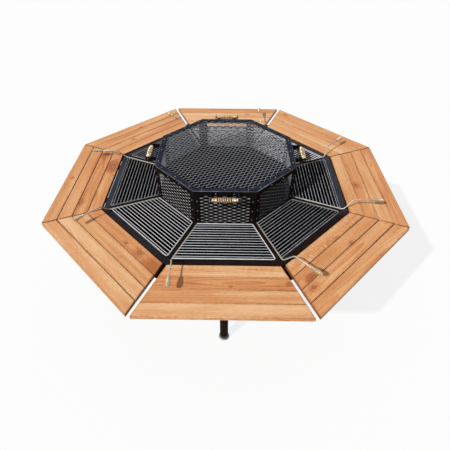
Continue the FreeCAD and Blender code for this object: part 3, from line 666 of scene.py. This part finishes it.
# Depth of tone of a segment's boards, from the inner one out: 0 is pale straw, 1 deep orange
TONES = {
    0: (0.5, 0.9, 0.75, 0.3), 1: (0.85, 0.85, 0.7, 0.7), 2: (0.6, 0.9, 0.75, 0.9),
    3: (0.65, 0.5, 0.7, 0.75), 4: (0.4, 0.4, 0.3, 0.9), 5: (0.7, 0.75, 0.7, 0.6),
    6: (0.8, 0.9, 0.7, 0.7), 7: (0.95, 0.7, 0.25, 0.55),
}
# Knots by side and board, two at most: millimetres along and across the board, and size
KNOTS = {
    (7, 0): [(134, 5, 10), (36, 12, 5)], (6, 0): [(-133, 1, 18), (-40, -22, 3)], (6, 1): [(221, 24, 9)],
    (6, 3): [(-10, -2, 5)], (1, 1): [(-233, 29, 10), (81, 26, 6)], (1, 2): [(-277, -6, 8)],
    (2, 1): [(-32, -15, 9)], (3, 3): [(294, -3, 7)], (0, 1): [(33, 18, 2.5)], (5, 3): [(-14, -27, 5)],
    (5, 1): [(120, 8, 6)], (4, 2): [(-150, 10, 6)],
}
# Deep orange stains, one to a board, given as knots are
STAINS = {(7, 0): (248, 8, 52), (6, 0): (-138, 4, 50), (6, 1): (-262, 10, 38), (1, 1): (-240, 24, 30),
          (0, 1): (298, -1, 19)}
# A small mark far off the board, for a board with none
NO_MARK = (9000, 0, 10)
# Boards cut so that pale ray flecks show, and how strongly
RAYS = {(1, 0): 1.0, (0, 0): 0.45, (2, 0): 0.3}


def inset(outline, distance):
    """A convex outline, drawn anticlockwise, moved inwards."""
    before = unit(outline - np.roll(outline, 1, axis=0))
    after = unit(np.roll(outline, -1, axis=0) - outline)
    inward = [np.stack([-edges[:, 1], edges[:, 0]], 1) for edges in (before, after)]
    scale = 1 + (inward[0] * inward[1]).sum(1)
    return outline + (inward[0] + inward[1]) / scale[:, None] * distance


def half_side(distance, margin):
    """Half an octagon side's length, so far from the middle, less a margin square to the corner's ray."""
    return distance * math.tan(CORNER) - margin / math.cos(CORNER)


def board_outline(near, far, seams):
    """The four corners of a board seen from above, anticlockwise."""
    return np.array([(-half_side(far, seams[0]), -far), (half_side(far, seams[1]), -far),
                     (half_side(near, seams[1]), -near), (-half_side(near, seams[0]), -near)])


def add_board(shape, side, number):
    """One board of a segment, counted from the inner one, with eased edges and its own figure."""
    near = DECK_INNER + number * (BOARD + GAP)
    far = near + BOARD
    middle = (near + far) / 2
    near += SET_BACK.get(side, 0.0) * (number == 0)
    near -= CLOSE_UP.get(side, 0.0) * (number > 0)
    far += CLOSE_UP.get(side, 0.0) * (number < BOARDS - 1)
    seams = [SEAM_WIDE if spot % len(SIDES) in WIDE_AFTER else SEAM_NARROW for spot in (side - 1, side)]
    seams = [seam + DRAWS.uniform(0.0, SEAM_SPREAD) for seam in seams]
    top = DECK_TOP - DRAWS.uniform(0.0, TOP_SPREAD)
    outline = board_outline(near, far, seams)

    # Loops from the underside up: distance in from the outline, height and wear
    loops = [(CHAMFER, DECK_UNDER, 1.0), (0.0, DECK_UNDER + CHAMFER, 1.0)]
    for angle in map(math.radians, EASE_ANGLES):
        loops.append((EASE * (1 - math.cos(angle)), top - EASE + EASE * math.sin(angle), 1.0))
    loops.append((EASE + WORN_BAND, top, 0.0))
    spots = [(x, y, height) for distance, height, _ in loops for x, y in inset(outline, distance)]
    spots = np.array(spots)
    worn = np.repeat([wear for _, _, wear in loops], len(outline))
    # The upright walls, the worn band, the underside and the top are flat, the edges between smooth
    flat = (1, len(loops) - 2)
    smooth = [row not in flat for row in range(len(loops) - 1) for _ in outline] + [False, False]

    knots = KNOTS.get((side, number), []) + [NO_MARK, NO_MARK]
    stain = STAINS.get((side, number), NO_MARK)
    grain = np.stack([spots[:, 0], -spots[:, 1] - middle, spots[:, 2] - DECK_UNDER], 1) * MM
    seed = side * BOARDS + number + 1.0
    pith = DRAWS.uniform(-PITH_SPREAD, PITH_SPREAD) * MM
    figure = (seed, TONES[side][number], pith)
    shape.add(turn(spots, side), skin(len(loops), len(outline)), smooth, grain=grain, figure=figure,
              knot_a=np.array(knots[0]) * MM, knot_b=np.array(knots[1]) * MM, stain=np.array(stain) * MM,
              axis=turn([SIDEWAYS], side)[0], worn=worn[:, None], rays=[RAYS.get((side, number), 0.0)])


for side, side_name in enumerate(SIDES):
    boards = Shape()
    for number in range(BOARDS):
        add_board(boards, side, number)
    piece(f"boards_{side_name}", boards, WOOD, "table", [f"deck_{side_name}"])


# Grates: round wires, a handle that runs on from one side wire, a coiled grip

rack_low, rack_high = node_box("grate_front_rack")
WIRE_LEVEL = (rack_low[2] + rack_high[2]) / 2
GRATE_INNER, GRATE_OUTER = 381.0, 626.0
SIDE_MARGIN = 14.0
FRAME_WIRE, FRAME_WIRE_SIDES = 3.4, 12
FRAME_BEND, FRAME_BEND_STEPS = 9.0, 7
ROD_WIRE, ROD_SIDES = 1.8, 10
ROD_COUNT = 13
ROD_LEVEL, ROD_OVER = 728.8, 1.6
# The space between the last rod and the outer wire, counted in the spaces between rods
LAST_SPACE = 0.68
GRIP_ACROSS, GRIP_LEVEL = -234.9, 782.8
HANDLE_PATH = [(-141.0, -377.0, WIRE_LEVEL), (-249.9, -640.0, WIRE_LEVEL),
               (GRIP_ACROSS, -688.0, GRIP_LEVEL), (GRIP_ACROSS, -838.0, GRIP_LEVEL)]
HANDLE_BEND, HANDLE_BEND_STEPS = 26.0, 10
GRIP_START, GRIP_END = 781.8, 840.2
GRIP_WIRE, GRIP_SIDES = 1.6, 8
GRIP_TURNS, STEPS_PER_TURN = 14, 18
# The grip's radius at its ends, how much it swells, and the share of its length where it is widest
GRIP_RADIUS, GRIP_SWELL, GRIP_PEAK = 6.3, 4.0, 0.68
# How far painted shade darkens each rack's rods and frame, side by side from the front one: most where they
# catch little light
ROD_SHADE = (0.05, 0.66, 0.66, 0.0, 0.3, 0.78, 0.62, 0.02)
FRAME_SHADE = (0.05, 0.85, 0.9, 0.4, 0.3, 0.9, 0.9, 0.25)


def grip_turns(share):
    """Turns up to a share of the grip's length."""
    return GRIP_TURNS * share


def grip_radius(share):
    """A teardrop's radius at a share of its length."""
    if share < GRIP_PEAK:
        swell = (1 - math.cos(math.pi * share / GRIP_PEAK)) / 2
    else:
        swell = math.cos(math.pi / 2 * (share - GRIP_PEAK) / (1 - GRIP_PEAK))
    return GRIP_RADIUS + GRIP_SWELL * swell


def front_rack():
    """The front grate's frame wire and rods."""
    rack = Shape()
    inner, outer = half_side(GRATE_INNER, SIDE_MARGIN), half_side(GRATE_OUTER, SIDE_MARGIN)
    corners = [(-inner, -GRATE_INNER, WIRE_LEVEL), (inner, -GRATE_INNER, WIRE_LEVEL),
               (outer, -GRATE_OUTER, WIRE_LEVEL), (-outer, -GRATE_OUTER, WIRE_LEVEL)]
    sweep(rack, bend(corners, FRAME_BEND, FRAME_BEND_STEPS), FRAME_WIRE, FRAME_WIRE_SIDES)
    for number in range(1, ROD_COUNT + 1):
        distance = GRATE_INNER + (GRATE_OUTER - GRATE_INNER) * number / (ROD_COUNT + LAST_SPACE)
        reach = half_side(distance, SIDE_MARGIN) + ROD_OVER
        sweep(rack, [(x, -distance, ROD_LEVEL) for x in (-reach, 0.0, reach)], ROD_WIRE, ROD_SIDES)
    return rack


FRONT_RACK = front_rack()
FRONT_HANDLE = bend(HANDLE_PATH, HANDLE_BEND, HANDLE_BEND_STEPS)
FRONT_GRIP = helix(GRIP_START, GRIP_END, (GRIP_ACROSS, 0.0, GRIP_LEVEL), OUTWARD, grip_turns, grip_radius,
                   GRIP_TURNS * STEPS_PER_TURN)
for side, side_name in enumerate(SIDES):
    body = f"grate_{side_name}"
    rack, handle, grip = Shape(), Shape(), Shape()
    # Painted shade on each rack, by side
    soot = [[FRAME_SHADE[side]]] * len(FRONT_RACK.spots[0])
    soot += [[ROD_SHADE[side]]] * (FRONT_RACK.count - len(soot))
    rack.add(turn(np.concatenate(FRONT_RACK.spots), side), FRONT_RACK.faces, soot=soot)
    piece(f"rack_{side_name}", rack, PLATED, body, [f"grate_{side_name}_rack"])
    sweep(handle, turn(FRONT_HANDLE, side), FRAME_WIRE, FRAME_WIRE_SIDES)
    piece(f"handle_{side_name}", handle, BRIGHT, body, [f"grate_{side_name}_handle"])
    sweep(grip, turn(FRONT_GRIP, side), GRIP_WIRE, GRIP_SIDES)
    piece(f"grip_{side_name}", grip, BRONZE, body, [f"grate_{side_name}_grip"])


# Spark cage: expanded metal, folded cap, rivets and barrel coils

LONG_WAY, SHORT_WAY = 47.0, 21.0
PANEL_STRAND, COVER_STRAND = 3.1, 1.9
STRAND_THICK = 1.7
BOND = 0.2
# One repeat of a strand: shares of the long way, and where its zigzag is, from -1 to 1
ZIGZAG = [(-BOND / 2, 1.0), (BOND / 2, 1.0), (0.25, 0.0),
          (0.5 - BOND / 2, -1.0), (0.5 + BOND / 2, -1.0), (0.75, 0.0)]


def expanded(shape, strand, height, half_row, tilt, wear, faded, lay):
    """Rows of zigzag strands, tilted as slit and stretched sheet is, joined at their bonds.

    half_row gives half the length of the row at a level, and lay puts flat rows in their place.
    """
    wide = np.array([0.0, math.cos(tilt), math.sin(tilt)]) * strand / 2
    thick = np.array([0.0, -math.sin(tilt), math.cos(tilt)]) * STRAND_THICK / 2
    swing = SHORT_WAY / 4 - wide[1]
    rows = int(height / SHORT_WAY)
    for row in range(-rows, rows + 1):
        level = row * SHORT_WAY / 2
        half = half_row(level)
        if half < LONG_WAY / 4:
            continue
        shift = LONG_WAY / 2 * (row % 2)
        repeats = int(half / LONG_WAY) + 2
        columns = range(-repeats, repeats + 1)
        places = np.array([(column + share) * LONG_WAY + shift for column in columns for share, _ in ZIGZAG])
        waves = np.array([wave for _ in columns for _, wave in ZIGZAG])
        kept = np.concatenate([[-half], places[np.abs(places) < half], [half]])
        waves = np.interp(kept, places, waves)
        middle = np.stack([kept, level + swing * waves, -wide[2] * waves], 1)
        corners = [middle - wide - thick, middle + wide - thick, middle + wide + thick, middle - wide + thick]
        spots = np.stack(corners, 1).reshape(-1, 3)
        # How much of the painted glint a bond takes
        bond = np.repeat(np.abs(waves), len(corners))[:, None] * wear
        faces = skin(len(kept), len(corners), flipped=True)
        shape.add(lay(spots), faces, False, bond=bond, faded=[faded])


PANEL_HALF = 151.5
PANEL_LOW, PANEL_HIGH = node_box("cage_base_rail")[0][2], 932.0
PANEL_MIDDLE = (PANEL_LOW + PANEL_HIGH) / 2
PANEL_PLANE = 368.8
PANEL_MARGIN = 6.0
PANEL_TILT, COVER_TILT = math.radians(26.0), math.radians(-32.0)
COVER_REACH = 365.0
COVER_LEVEL = 928.6
# How far the coat is rubbed off the bonds of each side's mesh, and of the cover's, with a painted glint
# there, stronger on the sunlit sides
PANEL_RUB_AND_GLINT = (1.0, 0.83, 0.83, 1.0, 1.0, 1.0, 0.95, 0.97)
COVER_RUB_AND_GLINT = 0.88
# How faded the coat is; the faded colour is blue as a painted sky reflection on the cover
PANEL_FADED_SKY_BLUE, COVER_FADED_SKY_BLUE = 0.0, 1.0


def panel_row(level):
    """Half the length of a row of a side panel, the same at every level."""
    return PANEL_HALF


def cover_row(level):
    """Half the length of a row of the octagonal cover at a distance from its middle."""
    level = abs(level)
    if level > COVER_REACH:
        return 0.0
    return min(COVER_REACH, COVER_REACH * math.sqrt(2) - level)


def stand_panel(spots, side):
    """A flat mesh stood up on a side of the cage."""
    along, upwards, outwards = spots.T
    return turn(np.stack([along, -PANEL_PLANE - outwards, PANEL_MIDDLE + upwards], 1), side)


def lay_cover(spots):
    """A flat mesh laid on top of the cage, its rows turned by one side."""
    return turn(spots, 1) + (0.0, 0.0, COVER_LEVEL)


panels, cover = Shape(), Shape()
for side in range(len(SIDES)):
    expanded(panels, PANEL_STRAND, PANEL_HIGH - PANEL_LOW - PANEL_MARGIN, panel_row, PANEL_TILT,
             PANEL_RUB_AND_GLINT[side], PANEL_FADED_SKY_BLUE, lambda spots: stand_panel(spots, side))
piece("cage_panels", panels, MESH, "spark_cage", ["cage_side_panels"])
expanded(cover, COVER_STRAND, COVER_REACH * 2, cover_row, COVER_TILT, COVER_RUB_AND_GLINT, COVER_FADED_SKY_BLUE, lay_cover)
piece("cage_cover", cover, MESH, "spark_cage", ["cage_top_mesh"])

cap_high = node_box("cage_top_frame")[1]
LIP_FACE = cap_high[1]
# How far the cap stays below the top of the solids, to leave room for its rivets
RIVET_ROOM = 2.1
CAP_TOP = cap_high[2] - RIVET_ROOM
CAP_INNER = 344.0
CAP_SHEET = 2.0
LIP_LOW = 904.5
CAP_FOLD, FOLD_STEPS = 3.5, 5


def folded_bar(shape, profile, bends, side):
    """A bar that ends on the rays through the octagon's corners; bends are the rounded strips."""
    count = len(profile)
    spots = [(end * out * math.tan(CORNER), -out, level) for end in (-1, 1) for out, level in profile]
    smooth = [one in bends for one in range(count)] + [False, False]
    # The strips inside each fold are rubbed, with a painted glint
    rubbed = [[float(one - 1 in bends and one in bends)] for one in range(count)] * 2
    shape.add(turn(spots, side), skin(2, count), smooth, rubbed=np.array(rubbed))


cap_profile = [(CAP_INNER, CAP_TOP - CAP_SHEET), (LIP_FACE - CAP_SHEET, CAP_TOP - CAP_SHEET),
               (LIP_FACE - CAP_SHEET, LIP_LOW), (LIP_FACE, LIP_LOW)]
FOLD_START = len(cap_profile)
for step in range(FOLD_STEPS + 1):
    angle = math.pi / 2 * step / FOLD_STEPS
    out = LIP_FACE - CAP_FOLD * (1 - math.cos(angle))
    cap_profile.append((out, CAP_TOP - CAP_FOLD * (1 - math.sin(angle))))
cap_profile.append((CAP_INNER, CAP_TOP))
cap = Shape()
for side in range(len(SIDES)):
    folded_bar(cap, cap_profile, range(FOLD_START, FOLD_START + FOLD_STEPS), side)
piece("cage_cap", cap, CAGE, "spark_cage", ["cage_top_frame"])

pin_low, pin_high = node_box("cage_handle_pins")
HANDLE_AXIS, HANDLE_LEVEL = 425.0, (pin_low[2] + pin_high[2]) / 2
RIVET, RIVET_SIDES = [(2.9, -0.4), (2.9, 0.4), (2.5, 1.1), (1.6, 1.7), (0.5, 1.95)], 12
POST_FACE = -node_box("cage_posts")[0][1]
BRACKET_SHEET = 3.0
CAP_RIVETS_OUT, CAP_RIVETS = 359.0, (-114.0, 0.0, 114.0)
LIP_RIVETS = (-44.5, 44.5)
POST_RIVETS, POST_RIVET_LEVELS = (-139.0, 139.0), (868.0, 806.0, 748.0)
rivets = Shape()
for side in range(len(SIDES)):
    lip = LIP_FACE + (BRACKET_SHEET if side in MAIN_SIDES else 0.0)
    spots = [((x, -CAP_RIVETS_OUT, CAP_TOP), UP) for x in CAP_RIVETS]
    spots += [((x, -lip, HANDLE_LEVEL), OUTWARD) for x in LIP_RIVETS]
    spots += [((x, -POST_FACE, level), OUTWARD) for x in POST_RIVETS for level in POST_RIVET_LEVELS]
    for spot, axis in spots:
        lathe(rivets, RIVET, turn([spot], side)[0], turn([axis], side)[0], RIVET_SIDES)
piece("cage_rivets", rivets, ZINC, "spark_cage")

COIL_HALF = 63.5
COIL_WIRE, COIL_SIDES = 2.4, 9
COIL_STEPS = 360
# The coil's radius at its ends, how much it swells, and how full its barrel is
COIL_RADIUS, COIL_SWELL, COIL_FULLNESS = 6.9, 6.7, 0.8
CLOSED_TURNS, OPEN_TURNS = 5.0, 7.0
# Closed turns lie this many wire radii apart, just clear of each other
CLOSED_PITCH = 2.1
CLOSED_SHARE = CLOSED_TURNS * CLOSED_PITCH * COIL_WIRE / (2 * COIL_HALF)


def coil_turns(share):
    """Turns up to a share of the coil's length: closed at both ends and open between."""
    if share < CLOSED_SHARE:
        return CLOSED_TURNS * share / CLOSED_SHARE
    if share > 1 - CLOSED_SHARE:
        return CLOSED_TURNS + OPEN_TURNS + CLOSED_TURNS * (share - 1 + CLOSED_SHARE) / CLOSED_SHARE
    return CLOSED_TURNS + OPEN_TURNS * (share - CLOSED_SHARE) / (1 - 2 * CLOSED_SHARE)


def coil_radius(share):
    """A barrel's radius at a share of its length."""
    return COIL_RADIUS + COIL_SWELL * max(0.0, math.sin(math.pi * share)) ** COIL_FULLNESS


FRONT_COIL = helix(-COIL_HALF, COIL_HALF, (0.0, -HANDLE_AXIS, HANDLE_LEVEL), SIDEWAYS, coil_turns,
                   coil_radius, COIL_STEPS)
coils = Shape()
for side in MAIN_SIDES:
    sweep(coils, turn(FRONT_COIL, side), COIL_WIRE, COIL_SIDES)
piece("cage_coils", coils, BRASS, "spark_cage", ["cage_handle_coils"])


# Feet, bolts and welds

# Profiles are (radius, height) pairs, from the floor, the leg's top or the face that a bolt is on
BOOT = [(22.0, 4.6), (30.6, 4.6), (31.6, 5.2), (32.0, 6.4), (31.7, 7.5), (30.6, 8.7), (28.6, 10.3),
        (27.0, 11.6), (26.1, 12.8), (25.7, 14.6), (25.6, 18.0), (25.6, 33.0), (25.3, 34.4), (24.8, 34.8),
        (24.3, 34.4), (24.3, 30.0)]
FOOT_GLIDE = [(26.5, 0.0), (28.6, 0.5), (29.2, 1.8), (29.2, 4.4), (24.0, 5.0)]
LEG_WELD = [(24.2, -8.0), (25.4, -6.5), (26.4, -4.0), (28.6, -1.8), (31.2, -0.4), (31.2, 0.0)]
LEG_WASHER, LEG_BOLT = [(7.5, -0.1), (7.5, 1.2)], [(6.2, 1.2), (6.2, 5.0), (5.4, 5.8)]
LEG_BOLTS = (-40.0, 40.0)
leg_low, leg_high = node_box("leg_front")
LEG_AXIS, LEG_TOP = -(leg_low[1] + leg_high[1]) / 2, leg_high[2]
DECK_SCREW = [(4.2, -0.1), (4.2, 0.8), (3.4, 2.0), (1.6, 2.6)]
ARMS = (-165.0, 165.0)
# An arm's thickness, how far its screws are from its middle, and how far out the last one is
ARM_SHEET, SCREW_ASIDE, LAST_SCREW = 4.0, 6.0, 905.0
BRACKET_WASHER, BRACKET_BOLT = [(6.5, -0.1), (6.5, 1.0)], [(5.2, 1.0), (5.2, 4.4), (4.6, 5.0)]
BRACKET_BOLTS, BRACKET_BOLTS_OUT = (-24.0, 24.0), 765.0
BRACKET_UNDER = node_box("corner_brackets")[0][2]
FOOT_SIDES, WELD_SIDES, SCREW_SIDES = 40, 32, 14
LEG_WASHER_SIDES, BRACKET_WASHER_SIDES, BOLT_SIDES = 24, 20, 6

boots, glides, welds, bolts = Shape(), Shape(), Shape(), Shape()
for side in MAIN_SIDES:
    foot, leg_top = turn([(0.0, -LEG_AXIS, 0.0), (0.0, -LEG_AXIS, LEG_TOP)], side)
    lathe(boots, BOOT, foot, UP, FOOT_SIDES)
    lathe(glides, FOOT_GLIDE, foot, UP, FOOT_SIDES)
    lathe(welds, LEG_WELD, leg_top, UP, WELD_SIDES)
    for spot in turn([(x, y - LEG_AXIS, LEG_TOP) for x in LEG_BOLTS for y in LEG_BOLTS], side):
        lathe(bolts, LEG_WASHER, spot, DOWN, LEG_WASHER_SIDES)
        lathe(bolts, LEG_BOLT, spot, DOWN, BOLT_SIDES)
piece("boots", boots, RUBBER, "table", ["foot_boots"])
piece("glides", glides, PAD, "table", ["foot_glides"])
piece("leg_welds", welds, STEEL, "table")

for side in range(len(SIDES)):
    for arm in ARMS:
        for number in range(BOARDS):
            board_middle = DECK_INNER + number * (BOARD + GAP) + BOARD / 2
            spot = (arm + SCREW_ASIDE, -min(board_middle, LAST_SCREW), DECK_UNDER - ARM_SHEET)
            lathe(bolts, DECK_SCREW, turn([spot], side)[0], DOWN, SCREW_SIDES)
    # A corner is half a side further round
    for spot in turn([(x, -BRACKET_BOLTS_OUT, BRACKET_UNDER) for x in BRACKET_BOLTS], side + 0.5):
        lathe(bolts, BRACKET_WASHER, spot, DOWN, BRACKET_WASHER_SIDES)
        lathe(bolts, BRACKET_BOLT, spot, DOWN, BOLT_SIDES)
piece("bolts", bolts, GLIDE, "table")


# CAD nodes that stay, with their finishes and softened edges

KEPT = {
    RIM: ["rim"],
    STEEL: ["inner_ring", "spokes", "corner_brackets", "deck_arms", "leg_front", "leg_right", "leg_back",
            "leg_left", "leg_plates"],
    CAGE: ["cage_posts", "cage_base_rail", "cage_handle_brackets"],
    PAN: ["pan_walls", "pan_floor"],
    PIN: ["cage_handle_pins"],
}
WELD_REACH = 0.02
EDGE_WIDTH, EDGE_STEPS, EDGE_ANGLE = 0.6, 2, math.radians(40)
for material, names in KEPT.items():
    for name in names:
        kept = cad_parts[name]
        for material_slot in kept.material_slots:
            material_slot.material = material
        weld = kept.modifiers.new("weld", "WELD")
        weld.merge_threshold = WELD_REACH * MM
        edge = kept.modifiers.new("edge", "BEVEL")
        edge.width = EDGE_WIDTH * MM
        edge.segments = EDGE_STEPS
        edge.limit_method = "ANGLE"
        edge.angle_limit = EDGE_ANGLE
        edge.harden_normals = True


# Floor, light and camera, in metres

FLOOR_HALF = 40.0
FLOOR_COLOUR = (0.92, 0.92, 0.92)
# How much of the floor that is seen is plain white; the rest takes the shadow
SHOWN_WHITE = 0.84
ground = bpy.data.materials.new("pale_floor")
ground.use_nodes = True
ground.node_tree.nodes.clear()
nodes = Nodes(ground.node_tree)
shaded = nodes.node("BsdfDiffuse", {"Color": FLOOR_COLOUR}).outputs[0]
white = nodes.node("Emission", {"Strength": 1.0}).outputs[0]
shown = nodes.times(nodes.background_rays(), SHOWN_WHITE)
mixed = nodes.node("MixShader", {0: shown, 1: shaded, 2: white}).outputs[0]
nodes.node("OutputMaterial", {0: mixed})
floor_corners = [(x * FLOOR_HALF, y * FLOOR_HALF, 0.0) for x, y in ((-1, -1), (1, -1), (1, 1), (-1, 1))]
floor_mesh = bpy.data.meshes.new("floor")
floor_mesh.from_pydata(floor_corners, [], [(0, 1, 2, 3)])
floor_mesh.materials.append(ground)
floor = put_in_scene("floor", floor_mesh)

SKY_COLOUR, SKY_LIGHT = (0.97, 0.985, 1.0), 0.34
BACKDROP = (1.0, 1.0, 1.0)
world = bpy.data.worlds.new("studio")
world.use_nodes = True
world.node_tree.nodes.clear()
bpy.context.scene.world = world
nodes = Nodes(world.node_tree)
sky = nodes.node("Background", {"Color": SKY_COLOUR, "Strength": SKY_LIGHT}).outputs[0]
backdrop = nodes.node("Background", {"Color": BACKDROP, "Strength": 1.0}).outputs[0]
mixed = nodes.node("MixShader", {0: nodes.background_rays(), 1: sky, 2: backdrop}).outputs[0]
nodes.node("OutputWorld", {0: mixed})

TO_LAMP = Vector((-0.55, -0.51, 0.66))
LAMP_POWER, LAMP_ANGLE = 3.1, math.radians(1.6)
lamp_data = bpy.data.lights.new("key", "SUN")
lamp_data.energy = LAMP_POWER
lamp_data.angle = LAMP_ANGLE
lamp = put_in_scene("key", lamp_data)
lamp.rotation_mode = "QUATERNION"
lamp.rotation_quaternion = TO_LAMP.to_track_quat("Z", "Y")

CAMERA_SPOT = (0.0205, -1.8451, 2.0531)
CAMERA_DEGREES = (47.697, -0.144, 0.898)
SENSOR, LENS = 36.0, 30.52
NEAREST, FARTHEST = 0.05, 200.0
camera_data = bpy.data.cameras.new("camera")
camera_data.sensor_width = SENSOR
camera_data.lens = LENS
camera_data.clip_start = NEAREST
camera_data.clip_end = FARTHEST
camera = put_in_scene("camera", camera_data)
camera.location = CAMERA_SPOT
camera.rotation_euler = [math.radians(angle) for angle in CAMERA_DEGREES]
bpy.context.scene.camera = camera

bpy.context.scene.view_settings.view_transform = "Standard"
